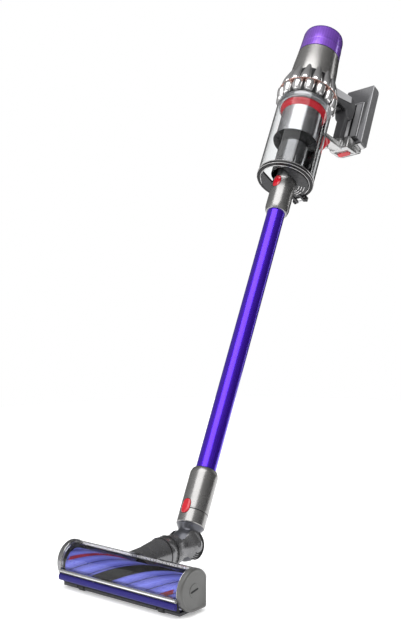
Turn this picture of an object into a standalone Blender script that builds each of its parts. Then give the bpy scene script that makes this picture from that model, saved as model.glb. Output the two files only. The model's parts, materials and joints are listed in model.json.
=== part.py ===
"""Cordless stick vacuum: floor head, swivel neck, wand, dust bin, cyclones, motor, handle and battery.

World frame: +Z up, floor at Z = 0, origin at the middle of the felt land under the floor head.
The head is modelled in the world frame, with its brush bar along X and its front towards -Y.
The neck is modelled in a frame on the knuckle that is rolled about the neck's own axis (Y).
Everything above the knuckle is modelled in the stick frame: X is the knuckle pin, +Y is the
handle's side and +Z runs up the stick from the knuckle. All lengths are in metres.
"""

import math

import bmesh
import bpy
from mathutils import Matrix, Vector

GAP = 0.0003

# Sides of turned pieces
ROUND_LARGE = 34
ROUND_SMALL = 26

# Floor head
HEAD_WIDTH = 0.250
CAP_THICKNESS = 0.0085
SHELL_CENTRE_Y = -0.023
SHELL_CENTRE_Z = 0.037
SHELL_RADIUS = 0.032
SHELL_WALL = 0.0019
REAR_FACE_Y = 0.005
SOLE_BOTTOM_Z = 0.0030
SOLE_TOP_Z = 0.0072
BRUSH_Y = -0.0245
BRUSH_Z = 0.0320
BRUSH_CORE_RADIUS = 0.0245
BRUSH_TIP_RADIUS = 0.0266
BRUSH_HALF_LENGTH = 0.1120
BRUSH_TURNS = -0.60
WINDOW_BACK_DEG = 41.0
WINDOW_FRONT_DEG = 191.0
WHEEL_RADIUS = 0.0050
WHEEL_X = 0.080
WHEEL_Y = -0.0435
ROLLER_RADIUS = 0.0062
ROLLER_Y = 0.0200

# Neck and knuckle
KNUCKLE = Vector((0.0, 0.109, 0.051))
NECK_ROLL = math.radians(-10.56)
STICK_LEAN = math.radians(-36.38)
NECK_SEAM_Y = 0.0470
NECK_BORE = 0.0172
KNUCKLE_RADIUS = 0.0300
FORK_HALF_GAP = 0.0185
DRUM_RADIUS = 0.0265
PIN_RADIUS = 0.0039

# Stations along the stick, measured from the knuckle
CONE_TOP = 0.0315
WAND_SEAM = 0.0550
LOWER_CUFF_TOP = 0.1310
UPPER_CUFF_BOTTOM = 0.6670
UPPER_CUFF_TOP = 0.7420
DOOR_BOTTOM = 0.7405
RIM_BOTTOM = 0.7435
RIM_TOP = 0.7525
SKIRT_TOP = 0.8392
SHROUD_TOP = 0.9042
RED_RING_TOP = 0.9165
BIN_TOP = 0.9262
CYCLONE_BOTTOM = 0.9300
CYCLONE_SPLIT = 0.9570
CYCLONE_TOP = 0.9950
MOTOR_TOP = 1.0645
FILTER_TOP = 1.1200

# Radii on the stick
WAND_RADIUS = 0.0170
WAND_BORE = 0.0155
LOWER_CUFF_RADIUS = 0.0238
UPPER_CUFF_RADIUS = 0.02275
SPIGOT_RADIUS = 0.0184
SOCKET_RADIUS = 0.0190
BIN_RADIUS = 0.0545
BIN_WALL = 0.0020
SKIRT_RADIUS = 0.0440
SHROUD_RADIUS = 0.0405
COLLECTOR_RADIUS = 0.0295
CYCLONE_RADIUS = 0.0620
CYCLONE_COUNT = 14
MOTOR_RADIUS = 0.0465
FILTER_RADIUS = 0.0428

# Handle, in the plane across the stick's X axis
GRIP_HALF_WIDTH = 0.0160
HANDLE_HALF_WIDTH = 0.0100
STRUT_HALF_WIDTH = 0.0120
FOOT_HALF_WIDTH = 0.0220
TRIGGER_HALF_WIDTH = 0.0100
TRIGGER_PIVOT = Vector((0.0, 0.0760, 1.0130))
BATTERY_HALF_WIDTH = 0.0330
BATTERY_FRONT = 0.1556
BATTERY_BACK = 0.1800
BATTERY_BOTTOM = 0.9600
BATTERY_TOP = 1.1190
RIDGE_HALF_WIDTH = 0.0255
RIDGE_FRONT = 0.1455
BATTERY_BUTTON_Y = 0.1530
DOOR_HINGE = Vector((0.0, 0.0590, 0.7405))

# Colours: red, green, blue, roughness, metallic
NICKEL = (0.55, 0.55, 0.54, 0.25, 0.9)
GUNMETAL = (0.16, 0.16, 0.17, 0.35, 0.8)
BLACK = (0.015, 0.015, 0.016, 0.5, 0.0)
CHARCOAL = (0.06, 0.06, 0.065, 0.5, 0.0)
GREY = (0.25, 0.25, 0.26, 0.45, 0.0)
LIGHT_GREY = (0.55, 0.55, 0.56, 0.4, 0.0)
PURPLE = (0.12, 0.03, 0.60, 0.25, 0.6)
VIOLET = (0.14, 0.12, 0.62, 0.35, 0.2)
CLEAR = (0.80, 0.82, 0.84, 0.05, 0.0)
RED = (0.65, 0.01, 0.03, 0.3, 0.0)
COPPER = (0.70, 0.35, 0.25, 0.3, 0.9)
WHITE = (0.85, 0.85, 0.82, 0.8, 0.0)
GREEN = (0.02, 0.20, 0.06, 0.5, 0.0)
STEEL = (0.60, 0.60, 0.62, 0.2, 1.0)


def clear_scene():
    for item in list(bpy.data.objects):
        bpy.data.objects.remove(item, do_unlink=True)


def make_frame(name, location, rotation):
    frame = bpy.data.objects.new(name, None)
    frame.matrix_world = Matrix.Translation(location) @ rotation
    bpy.context.collection.objects.link(frame)
    return frame


def make_object(name, bm):
    bmesh.ops.recalc_face_normals(bm, faces=bm.faces)
    mesh = bpy.data.meshes.new(name)
    bm.to_mesh(mesh)
    bm.free()
    item = bpy.data.objects.new(name, mesh)
    bpy.context.collection.objects.link(item)
    return item


def paint(item, colour):
    red, green, blue, roughness, metallic = colour
    material = bpy.data.materials.new(item.name + "_finish")
    material.use_nodes = True
    shader = material.node_tree.nodes["Principled BSDF"]
    shader.inputs["Base Color"].default_value = (red, green, blue, 1.0)
    shader.inputs["Roughness"].default_value = roughness
    shader.inputs["Metallic"].default_value = metallic
    item.data.materials.clear()
    item.data.materials.append(material)


def place(item, colour, frame=None, pivot=(0.0, 0.0, 0.0)):
    """Put an object in its frame with its origin on its pivot, and finish its surface."""
    pivot = Vector(pivot)
    item.data.transform(Matrix.Translation(-pivot))
    item.parent = frame
    item.location = pivot
    item.data.shade_smooth()
    item.data.set_sharp_from_angle(angle=math.radians(35.0))
    paint(item, colour)
    return item


def combine(target, tool, operation):
    """Apply a Boolean of two closed meshes and drop the tool."""
    modifier = target.modifiers.new("combine", "BOOLEAN")
    modifier.operation = operation
    modifier.solver = "EXACT"
    modifier.object = tool
    depsgraph = bpy.context.evaluated_depsgraph_get()
    mesh = bpy.data.meshes.new_from_object(target.evaluated_get(depsgraph))
    target.modifiers.clear()
    target.data = mesh
    bpy.data.objects.remove(tool, do_unlink=True)
    return target


def cut(target, tool):
    return combine(target, tool, "DIFFERENCE")


def join(target, tool):
    return combine(target, tool, "UNION")


def soften(item, width, segments=1, angle=40.0):
    """Apply a bevel to the sharp edges."""
    modifier = item.modifiers.new("soften", "BEVEL")
    modifier.width = width
    modifier.segments = segments
    modifier.limit_method = "ANGLE"
    modifier.angle_limit = math.radians(angle)
    depsgraph = bpy.context.evaluated_depsgraph_get()
    mesh = bpy.data.meshes.new_from_object(item.evaluated_get(depsgraph))
    item.modifiers.clear()
    item.data = mesh
    return item


def loft(name, rings, closed=False):
    """Skin rings of points; the ends are capped unless the stack closes on itself."""
    bm = bmesh.new()
    loops = [[bm.verts.new(point) for point in ring] for ring in rings]
    count = len(rings[0])
    pairs = list(zip(loops, loops[1:]))
    if closed:
        pairs.append((loops[-1], loops[0]))
    for lower, upper in pairs:
        for i in range(count):
            j = (i + 1) % count
            bm.faces.new((lower[i], lower[j], upper[j], upper[i]))
    if not closed:
        bm.faces.new(loops[0])
        bm.faces.new(loops[-1])
    return make_object(name, bm)


def prism(name, outline, low, high, axis="X"):
    """Extrude an outline: (Y, Z) pairs along X, (X, Z) pairs along Y or (X, Y) pairs along Z."""
    def lift(pair, level):
        if axis == "X":
            return (level, pair[0], pair[1])
        if axis == "Y":
            return (pair[0], level, pair[1])
        return (pair[0], pair[1], level)
    rings = [[lift(pair, level) for pair in outline] for level in (low, high)]
    return loft(name, rings)


def box(name, low, high):
    (x0, y0, z0), (x1, y1, z1) = low, high
    return prism(name, [(x0, y0), (x1, y0), (x1, y1), (x0, y1)], z0, z1, axis="Z")


def turn_point(radius, station, angle, axis, centre):
    across = radius * math.cos(angle)
    along = radius * math.sin(angle)
    if axis == "X":
        point = (station, across, along)
    elif axis == "Y":
        point = (across, station, along)
    else:
        point = (across, along, station)
    return Vector(point) + Vector(centre)


def turned(name, profile, segments=24, axis="Z", centre=(0.0, 0.0, 0.0)):
    """Turn a closed profile of (radius, station) pairs; a zero radius makes a single pole."""
    bm = bmesh.new()
    rings = []
    for radius, station in profile:
        if radius == 0.0:
            rings.append([bm.verts.new(turn_point(0.0, station, 0.0, axis, centre))])
            continue
        angles = [math.tau * i / segments for i in range(segments)]
        rings.append([bm.verts.new(turn_point(radius, station, a, axis, centre)) for a in angles])
    pairs = list(zip(rings, rings[1:]))
    if profile[0][0] > 0.0 or profile[-1][0] > 0.0:
        pairs.append((rings[-1], rings[0]))
    for first, second in pairs:
        for i in range(segments):
            j = (i + 1) % segments
            corners = []
            for ring, index in ((first, i), (first, j), (second, j), (second, i)):
                vertex = ring[index % len(ring)]
                if vertex not in corners:
                    corners.append(vertex)
            if len(corners) > 2:
                bm.faces.new(corners)
    return make_object(name, bm)


def rod(name, radius, low, high, segments=20, axis="Z", centre=(0.0, 0.0, 0.0)):
    return turned(name, [(0.0, low), (radius, low), (radius, high), (0.0, high)], segments, axis, centre)


def tube(name, outer, inner, low, high, segments=24, axis="Z", centre=(0.0, 0.0, 0.0)):
    return turned(name, [(outer, low), (outer, high), (inner, high), (inner, low)], segments, axis, centre)


def arc(centre, radius, start_deg, end_deg, steps):
    """Points on a circle, from one angle to another, both included."""
    points = []
    for i in range(steps + 1):
        angle = math.radians(start_deg + (end_deg - start_deg) * i / steps)
        points.append((centre[0] + radius * math.cos(angle), centre[1] + radius * math.sin(angle)))
    return points


def stadium(centre, half_width, half_height, steps=6):
    """An upright oval: two half circles joined by straight sides."""
    rise = half_height - half_width
    top = arc((centre[0], centre[1] + rise), half_width, 0.0, 180.0, steps)
    bottom = arc((centre[0], centre[1] - rise), half_width, 180.0, 360.0, steps)
    return top + bottom


# ---------------------------------------------------------------- floor head

def shell_outline(radius, rear_y, bottom_z):
    """The head's end profile: a round front and a flat back, in (Y, Z)."""
    centre = (SHELL_CENTRE_Y, SHELL_CENTRE_Z)
    reach = rear_y - SHELL_CENTRE_Y
    corner_deg = math.degrees(math.acos(reach / radius))
    points = arc(centre, radius, corner_deg, 270.0, 18)
    points[-1] = (SHELL_CENTRE_Y, bottom_z)
    points.append((rear_y, bottom_z))
    return points


def end_cap(name, side):
    inner = HEAD_WIDTH / 2 - CAP_THICKNESS
    outer = HEAD_WIDTH / 2
    outline = shell_outline(SHELL_RADIUS, REAR_FACE_Y, SHELL_CENTRE_Z - SHELL_RADIUS)
    low, high = sorted((side * inner, side * outer))
    cap = prism(name, outline, low, high)
    return soften(cap, 0.0010)


LOCK_RADIUS = 0.0110


def end_cap_left():
    return place(end_cap("end_cap_left", -1), GUNMETAL)


def end_cap_right():
    """The right cap, with the journal that carries the brush bar and the recess of the lock."""
    cap = end_cap("end_cap_right", 1)
    journal = [(0.0, 0.120), (0.0120, 0.120), (0.0120, BRUSH_HALF_LENGTH + 0.0005), (0.0075, BRUSH_HALF_LENGTH),
               (0.0075, 0.096), (0.0, 0.096)]
    join(cap, turned("journal", journal, 24, "X", (0.0, BRUSH_Y, BRUSH_Z)))
    recess_floor = HEAD_WIDTH / 2 - 0.0030
    pocket = rod("pocket", LOCK_RADIUS, recess_floor, HEAD_WIDTH, 28, "X", (0.0, BRUSH_Y, SHELL_CENTRE_Z))
    return place(cut(cap, pocket), GREY)


def brush_lock():
    low = HEAD_WIDTH / 2 - 0.0027
    high = HEAD_WIDTH / 2 + 0.0002
    centre = (0.0, BRUSH_Y, SHELL_CENTRE_Z)
    disc = rod("brush_lock", LOCK_RADIUS - 0.0004, low, high, 28, "X", centre)
    slot = box("slot", (high - 0.0014, -0.0065, -0.0008), (high + 0.001, 0.0065, 0.0008))
    slot.data.transform(Matrix.Rotation(math.radians(14.0), 4, "X"))
    slot.data.transform(Matrix.Translation(centre))
    return place(cut(disc, slot), GREY, None, centre)


def inner_half_width():
    return HEAD_WIDTH / 2 - CAP_THICKNESS - GAP


def head_window():
    """The clear cover over the brush: a curved sheet of constant wall."""
    centre = (SHELL_CENTRE_Y, SHELL_CENTRE_Z)
    outer = arc(centre, SHELL_RADIUS - 0.0002, WINDOW_BACK_DEG, WINDOW_FRONT_DEG, 18)
    inner = arc(centre, SHELL_RADIUS - SHELL_WALL, WINDOW_FRONT_DEG, WINDOW_BACK_DEG, 18)
    half = inner_half_width()
    return place(prism("head_window", outer + inner, -half, half), CLEAR)


def head_housing():
    """The opaque back: the rear wall, the top corner and the suction port."""
    centre = (SHELL_CENTRE_Y, SHELL_CENTRE_Z)
    reach = REAR_FACE_Y - 0.0002 - SHELL_CENTRE_Y
    radius = SHELL_RADIUS - 0.0002
    corner_deg = math.degrees(math.acos(reach / radius))
    top_deg = WINDOW_BACK_DEG - 0.7
    outer = arc(centre, radius, top_deg, corner_deg, 3)
    wall = 0.0022
    inner_reach = reach - wall
    inner_radius = radius - wall
    inner_corner_deg = math.degrees(math.acos(inner_reach / inner_radius))
    inner = arc(centre, inner_radius, inner_corner_deg, top_deg, 3)
    rear = SHELL_CENTRE_Y + reach
    base = SOLE_TOP_Z + GAP
    outline = outer + [(rear, base), (rear - wall, base)] + inner
    half = inner_half_width()
    housing = prism("head_housing", outline, -half, half)
    port = rod("port", 0.0150, -0.02, 0.02, 28, "Y", (0.0, 0.0, 0.0400))
    return place(cut(housing, port), NICKEL)


def front_lip():
    """The bright rail along the front, under the window's lower edge."""
    outline = [(-0.0585, 0.0275), (-0.0548, 0.0300), (-0.0530, 0.0300), (-0.0520, 0.0270), (-0.0500, 0.0180),
               (-0.0482, 0.0120), (-0.0480, 0.0078), (-0.0510, 0.0078), (-0.0542, 0.0240), (-0.0585, 0.0255)]
    half = inner_half_width()
    rail = prism("front_lip", outline, -half, half)
    return place(rail, NICKEL)


def bumper_strip():
    """The soft strip under the rail that meets skirting boards."""
    outline = [(-0.0596, 0.0248), (-0.0548, 0.0234), (-0.0524, 0.0112), (-0.0560, 0.0108), (-0.0588, 0.0128)]
    half = inner_half_width()
    return place(soften(prism("bumper_strip", outline, -half, half), 0.0007, 1, 30.0), VIOLET)


def sole_plate():
    """The bottom frame around the suction mouth, with a well for each front wheel."""
    half = HEAD_WIDTH / 2 - CAP_THICKNESS - GAP
    plate = box("sole_plate", (-half, -0.0476, SOLE_BOTTOM_Z), (half, REAR_FACE_Y - 0.0002, SOLE_TOP_Z))
    mouth = box("mouth", (-0.108, -0.0350, 0.0), (0.108, -0.0068, 0.02))
    cut(plate, mouth)
    for side in (-1, 1):
        x = side * WHEEL_X
        well = box("well", (x - 0.0080, -0.0490, 0.0), (x + 0.0080, -0.0380, 0.02))
        cut(plate, well)
    return place(plate, CHARCOAL)


def sole_felt():
    """The felt land that the head rests on."""
    return place(box("sole_felt", (-0.100, -0.0045, 0.0), (0.100, 0.0045, SOLE_BOTTOM_Z - GAP)), BLACK)


def front_wheel(name, side):
    centre = (side * WHEEL_X, WHEEL_Y, WHEEL_RADIUS + 0.0001)
    rim = WHEEL_RADIUS
    stub = 0.0011
    profile = [(0.0, -0.0077), (stub, -0.0077), (stub, -0.006), (rim - 0.001, -0.006), (rim, -0.005),
               (rim, 0.005), (rim - 0.001, 0.006), (stub, 0.006), (stub, 0.0077), (0.0, 0.0077)]
    return place(turned(name, profile, 16, "X", centre), BLACK, None, centre)


def brush_motor():
    """The motor that hides inside the brush bar, fixed to the left end cap."""
    start = -inner_half_width()
    centre = (0.0, BRUSH_Y, BRUSH_Z)
    profile = [(0.0, start), (0.0150, start), (0.0150, start + 0.003), (0.0165, start + 0.004),
               (0.0165, -0.030), (0.0040, -0.029), (0.0040, -0.0235), (0.0, -0.0235)]
    return place(turned("brush_motor", profile, 20, "X", centre), STEEL)


def helix_ring(x, lag, spans, low, high):
    """One cross-section of a bar whose outline between angles is raised, at station x."""
    points = []
    for start, end, steps in spans:
        for i in range(steps + 1):
            angle = start + (end - start) * i / steps + lag
            points.append((high, angle))
        for i in range(steps + 1):
            angle = end + (start - end) * i / steps + lag
            points.append((low, angle))
    return [(x, BRUSH_Y + r * math.cos(a), BRUSH_Z + r * math.sin(a)) for r, a in points]


def helix_strip(name, start_deg, width_deg, low, high, colour):
    """A strip wound along the bar, seated on the core and reaching out to the tip radius."""
    stations = 20
    half_length = BRUSH_HALF_LENGTH - 0.006
    rings = []
    for i in range(stations + 1):
        x = -half_length + 2 * half_length * i / stations
        lag = math.tau * BRUSH_TURNS * (x + half_length) / (2 * half_length)
        start = math.radians(start_deg)
        end = math.radians(start_deg + width_deg)
        rings.append(helix_ring(x, lag, [(start, end, 2)], low, high))
    item = loft(name, rings)
    return place(item, colour, None, (0.0, BRUSH_Y, BRUSH_Z))


def brush_core():
    outer = BRUSH_CORE_RADIUS
    inner = 0.0190
    end = BRUSH_HALF_LENGTH
    journal = 0.0080
    profile = [(outer - 0.001, -end), (outer, -end + 0.001), (outer, end - 0.001), (outer - 0.001, end),
               (journal, end), (journal, 0.0), (0.0045, 0.0), (0.0045, -0.020), (inner, -0.020), (inner, -end)]
    centre = (0.0, BRUSH_Y, BRUSH_Z)
    return place(turned("brush_core", profile, ROUND_SMALL, "X", centre), VIOLET, None, centre)


def brush_strips():
    seat = BRUSH_CORE_RADIUS + 0.0007
    tip = BRUSH_TIP_RADIUS
    helix_strip("carbon_bristles", 246.0, 26.0, seat, tip, BLACK)
    helix_strip("red_bristles_first", 140.0, 12.0, seat, tip, RED)
    helix_strip("red_bristles_second", 15.0, 12.0, seat, tip, RED)


def neck_mount():
    """The saddle that carries the neck: a tube shaped to the head's back, with the roller's cheeks."""
    axis = (0.0, 0.0, KNUCKLE.z)
    end = NECK_SEAM_Y - GAP
    profile = [(0.0195, -0.020), (0.0205, 0.010), (0.0235, 0.034), (0.0250, end),
               (NECK_BORE, end), (NECK_BORE, -0.020)]
    saddle = turned("neck_mount", profile, 28, "Y", axis)
    for side in (-1, 1):
        x = side * 0.0155
        cheek = [(0.0050, 0.0330), (0.0050, 0.0100), (0.0165, 0.0030), (0.0235, 0.0030), (0.0250, 0.0330)]
        join(saddle, prism("cheek", cheek, x - 0.0025, x + 0.0025))
    plate = box("plate", (-0.0180, REAR_FACE_Y + 0.0002, 0.0180), (0.0180, 0.0090, 0.0400))
    join(saddle, plate)
    bore = rod("bore", NECK_BORE - 0.0008, -0.03, 0.08, 28, "Y", axis)
    cut(saddle, bore)
    hollow = rod("hollow", SHELL_RADIUS + GAP, -0.1, 0.1, 48, "X", (0.0, SHELL_CENTRE_Y, SHELL_CENTRE_Z))
    cut(saddle, hollow)
    back = box("back", (-0.1, -0.03, -0.01), (0.1, REAR_FACE_Y + 0.0002, 0.0535))
    cut(saddle, back)
    axle_hole = rod("axle_hole", 0.0016, -0.03, 0.03, 12, "X", (0.0, ROLLER_Y, ROLLER_RADIUS + 0.0001))
    cut(saddle, axle_hole)
    return place(saddle, GUNMETAL)


def rear_roller():
    centre = (0.0, ROLLER_Y, ROLLER_RADIUS + 0.0001)
    stub = 0.0012
    profile = [(0.0, -0.0178), (stub, -0.0178), (stub, -0.0125), (0.0055, -0.0125), (ROLLER_RADIUS, -0.0115),
               (ROLLER_RADIUS, 0.0115), (0.0055, 0.0125), (stub, 0.0125), (stub, 0.0178), (0.0, 0.0178)]
    return place(turned("rear_roller", profile, 18, "X", centre), BLACK, None, centre)


# ---------------------------------------------------------------- neck and knuckle

def neck_fork(frame):
    """The rolling neck: a sleeve that swells into a ball, slotted for the drum."""
    start = NECK_SEAM_Y + GAP - KNUCKLE.y
    ball = [(KNUCKLE_RADIUS * math.sin(a), -KNUCKLE_RADIUS * math.cos(a))
            for a in [math.radians(52.0 + 128.0 * i / 8) for i in range(8)]]
    profile = [(0.0, start), (0.0252, start), (0.0255, start + 0.001), (0.0255, start + 0.0150),
               (0.0238, start + 0.0165), (0.0236, ball[0][1] - 0.0010)] + ball + [(0.0, KNUCKLE_RADIUS)]
    fork = turned("neck_fork", profile, ROUND_SMALL, "Y")
    slot = box("slot", (-FORK_HALF_GAP, -0.0285, -0.05), (FORK_HALF_GAP, 0.05, 0.05))
    cut(fork, slot)
    bore = rod("bore", NECK_BORE, start - 0.01, 0.0, 24, "Y")
    cut(fork, bore)
    pin_hole = rod("pin_hole", PIN_RADIUS + GAP, -0.05, 0.05, 20, "X")
    cut(fork, pin_hole)
    return place(fork, GUNMETAL, frame)


def neck_duct(frame):
    """The flexible duct that carries the air through the neck's bore."""
    start = 0.012 - KNUCKLE.y
    ribs = 4
    pitch = (-0.0300 - start) / ribs
    profile = []
    for i in range(ribs):
        base = start + i * pitch
        profile += [(0.0150, base), (0.0159, base + 0.3 * pitch), (0.0159, base + 0.6 * pitch)]
    profile += [(0.0150, -0.0300), (0.0138, -0.0300), (0.0138, start)]
    return place(turned("neck_duct", profile, 16, "Y"), BLACK, frame)


def knuckle_pin(frame):
    return place(rod("knuckle_pin", PIN_RADIUS, -0.0290, 0.0290, 20, "X"), STEEL, frame)


def elbow(frame):
    """The drum inside the fork and the cone that leads up to the head connector."""
    half = FORK_HALF_GAP - 0.0005
    steps = 6
    arc_part = []
    for i in range(steps + 1):
        x = -half + 2 * half * i / steps
        arc_part.append((math.sqrt(DRUM_RADIUS ** 2 - x * x), x))
    drum = turned("elbow", [(0.0, -half)] + arc_part + [(0.0, half)], ROUND_SMALL, "X")
    cone = turned("cone", [(0.0, 0.005), (0.0160, 0.005), (0.0176, 0.0235), (0.0232, CONE_TOP), (0.0, CONE_TOP)])
    join(drum, cone)
    cut(drum, rod("bore", 0.0130, 0.0080, 0.05, 20))
    cut(drum, rod("pin_hole", PIN_RADIUS + 0.0004, -0.05, 0.05, 20, "X"))
    return place(drum, GUNMETAL, frame)


# ---------------------------------------------------------------- wand

LOWER_BUTTON_Z = 0.0580
UPPER_BUTTON_Z = 0.7285
BUTTON_HALF_WIDTH = 0.0085
BUTTON_HALF_HEIGHT = 0.0125
BUTTON_TRAVEL = 0.0015
BUTTON_CLEARANCE = 0.0006


def button_body(name, station, face_y, thickness):
    outline = stadium((0.0, station), BUTTON_HALF_WIDTH, BUTTON_HALF_HEIGHT)
    pad = prism(name, outline, face_y, face_y + thickness, axis="Y")
    return soften(pad, 0.0005, 1, 50.0)


def button_pocket(station, inner_y):
    outline = stadium((0.0, station), BUTTON_HALF_WIDTH + BUTTON_CLEARANCE, BUTTON_HALF_HEIGHT + BUTTON_CLEARANCE)
    return prism("pocket", outline, -0.05, inner_y, axis="Y")


def head_connector(frame):
    """The collar and spigot on the head that the wand pushes on to."""
    outer = LOWER_CUFF_RADIUS
    profile = [(outer - 0.0005, CONE_TOP + GAP), (outer, CONE_TOP + 0.001), (outer, WAND_SEAM - 0.0007),
               (outer - 0.0004, WAND_SEAM - GAP), (SPIGOT_RADIUS, WAND_SEAM - GAP), (SPIGOT_RADIUS, 0.0960),
               (SPIGOT_RADIUS - 0.001, 0.0975), (0.0158, 0.0975), (0.0158, 0.0500), (0.0140, CONE_TOP + GAP)]
    collar = turned("head_connector", profile, ROUND_SMALL)
    cut(collar, button_pocket(LOWER_BUTTON_Z, -0.0198))
    return place(collar, NICKEL, frame)


def head_release_button(frame):
    pad = button_body("head_release_button", LOWER_BUTTON_Z, -0.0250, 0.0030)
    return place(pad, RED, frame, (0.0, -0.0235, LOWER_BUTTON_Z))


def wand_lower_cuff(frame):
    """The cuff over the spigot, notched upwards from its rim for the head's button."""
    outer = LOWER_CUFF_RADIUS
    profile = [(SOCKET_RADIUS, WAND_SEAM), (outer - 0.0004, WAND_SEAM), (outer, WAND_SEAM + 0.0005),
               (outer, LOWER_CUFF_TOP - 0.0080), (0.0212, LOWER_CUFF_TOP - 0.0010), (0.0195, LOWER_CUFF_TOP),
               (WAND_RADIUS + GAP, LOWER_CUFF_TOP), (WAND_RADIUS + GAP, 0.1010), (SOCKET_RADIUS, 0.1000)]
    cuff = turned("wand_lower_cuff", profile, ROUND_SMALL)
    cut(cuff, button_pocket(LOWER_BUTTON_Z, 0.0))
    slot_half = BUTTON_HALF_WIDTH + BUTTON_CLEARANCE
    cut(cuff, box("slot", (-slot_half, -0.05, WAND_SEAM - 0.01), (slot_half, 0.0, LOWER_BUTTON_Z)))
    return place(cuff, NICKEL, frame)


def wand_tube(frame):
    return place(tube("wand_tube", WAND_RADIUS, WAND_BORE, 0.1020, 0.7020, ROUND_SMALL), PURPLE, frame)


def wand_upper_cuff(frame):
    outer = UPPER_CUFF_RADIUS
    profile = [(WAND_RADIUS + GAP, UPPER_CUFF_BOTTOM), (0.0190, UPPER_CUFF_BOTTOM), (0.0205, UPPER_CUFF_BOTTOM + 0.001),
               (outer, UPPER_CUFF_BOTTOM + 0.0090), (outer, UPPER_CUFF_TOP - 0.0006), (outer - 0.0005, UPPER_CUFF_TOP),
               (SOCKET_RADIUS, UPPER_CUFF_TOP), (SOCKET_RADIUS, 0.7035), (WAND_RADIUS + GAP, 0.7030)]
    cuff = turned("wand_upper_cuff", profile, ROUND_SMALL)
    cut(cuff, button_pocket(UPPER_BUTTON_Z, 0.0))
    return place(cuff, NICKEL, frame)


def wand_release_button(frame):
    pad = button_body("wand_release_button", UPPER_BUTTON_Z, -0.0240, 0.0030)
    return place(pad, RED, frame, (0.0, -0.0225, UPPER_BUTTON_Z))


# ---------------------------------------------------------------- bin

def inlet_tube(frame):
    return place(tube("inlet_tube", SPIGOT_RADIUS, WAND_BORE, 0.7055, 0.9000, ROUND_SMALL), CHARCOAL, frame)


def bin_wall(frame):
    inner = BIN_RADIUS - BIN_WALL
    profile = [(BIN_RADIUS, RIM_TOP + GAP), (BIN_RADIUS, BIN_TOP), (inner, BIN_TOP), (inner, RIM_TOP + GAP)]
    return place(turned("bin_wall", profile, ROUND_LARGE), CLEAR, frame)


HINGE_LUG_INNER = 0.0110
HINGE_LUG_OUTER = 0.0150
HINGE_PIN_RADIUS = 0.0014


def bin_rim(frame):
    """The dark ring round the bin's foot, with the hinge lugs of the door."""
    outer = BIN_RADIUS + 0.0004
    profile = [(outer - 0.0008, RIM_BOTTOM), (outer, RIM_BOTTOM + 0.001), (outer, RIM_TOP), (0.0468, RIM_TOP),
               (0.0468, RIM_BOTTOM)]
    ring = turned("bin_rim", profile, ROUND_LARGE)
    for side in (-1, 1):
        low, high = sorted((side * HINGE_LUG_INNER, side * HINGE_LUG_OUTER))
        join(ring, box("lug", (low, 0.0532, 0.7375), (high, 0.0615, 0.7465)))
    cut(ring, rod("pin_hole", HINGE_PIN_RADIUS + GAP, -0.03, 0.03, 14, "X", (0.0, DOOR_HINGE.y, DOOR_HINGE.z)))
    return place(ring, BLACK, frame)


def bin_door(frame):
    """The plate that drops to empty the bin, notched so that it clears the wand."""
    radius = 0.0462
    notch = 0.0237
    edge_y = -math.sqrt(radius ** 2 - notch ** 2)
    start_deg = math.degrees(math.atan2(edge_y, notch))
    outline = arc((0.0, 0.0), radius, start_deg, 180.0 - start_deg, ROUND_SMALL)
    outline += [(-notch, 0.0)] + arc((0.0, 0.0), notch, 180.0, 0.0, 14)[1:]
    plate = prism("bin_door", outline, DOOR_BOTTOM, 0.7450, axis="Z")
    for side in (-1, 1):
        low, high = sorted((side * 0.0060, side * (HINGE_LUG_INNER - 0.0004)))
        join(plate, box("lug", (low, 0.0400, 0.7385), (high, 0.0612, 0.7430)))
    hinge = (0.0, DOOR_HINGE.y, DOOR_HINGE.z)
    cut(plate, rod("pin_hole", HINGE_PIN_RADIUS + GAP, -0.03, 0.03, 14, "X", hinge))
    return place(plate, CHARCOAL, frame, DOOR_HINGE)


def door_hinge_pin(frame):
    centre = (0.0, DOOR_HINGE.y, DOOR_HINGE.z)
    return place(rod("door_hinge_pin", HINGE_PIN_RADIUS, -0.0150, 0.0150, 14, "X", centre), STEEL, frame)


def dust_collector(frame):
    inner = COLLECTOR_RADIUS - 0.0018
    profile = [(COLLECTOR_RADIUS - 0.001, 0.7550), (COLLECTOR_RADIUS, 0.7560), (COLLECTOR_RADIUS, 0.8250),
               (inner, 0.8250), (inner, 0.7550)]
    return place(turned("dust_collector", profile, ROUND_SMALL), CHARCOAL, frame)


def shroud_skirt(frame):
    """The flared black flange under the shroud."""
    inner = COLLECTOR_RADIUS - 0.0018
    low = 0.8250 + GAP
    profile = [(COLLECTOR_RADIUS, low), (COLLECTOR_RADIUS + 0.0010, low + 0.004), (SKIRT_RADIUS - 0.0070, low + 0.008),
               (SKIRT_RADIUS, SKIRT_TOP - 0.0022), (SKIRT_RADIUS, SKIRT_TOP), (inner, SKIRT_TOP), (inner, low)]
    return place(turned("shroud_skirt", profile, ROUND_LARGE), BLACK, frame)


def shroud(frame):
    inner = SHROUD_RADIUS - 0.0016
    return place(tube("shroud", SHROUD_RADIUS, inner, SKIRT_TOP + GAP, SHROUD_TOP, ROUND_LARGE), NICKEL, frame)


def shroud_ring(frame):
    """The red ring over the shroud."""
    inner = SHROUD_RADIUS - 0.0016
    low = SHROUD_TOP + GAP
    profile = [(SHROUD_RADIUS + 0.0004, low), (0.0466, RED_RING_TOP - 0.0030), (0.0466, RED_RING_TOP),
               (inner, RED_RING_TOP), (inner, low)]
    return place(turned("shroud_ring", profile, ROUND_LARGE), RED, frame)


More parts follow.
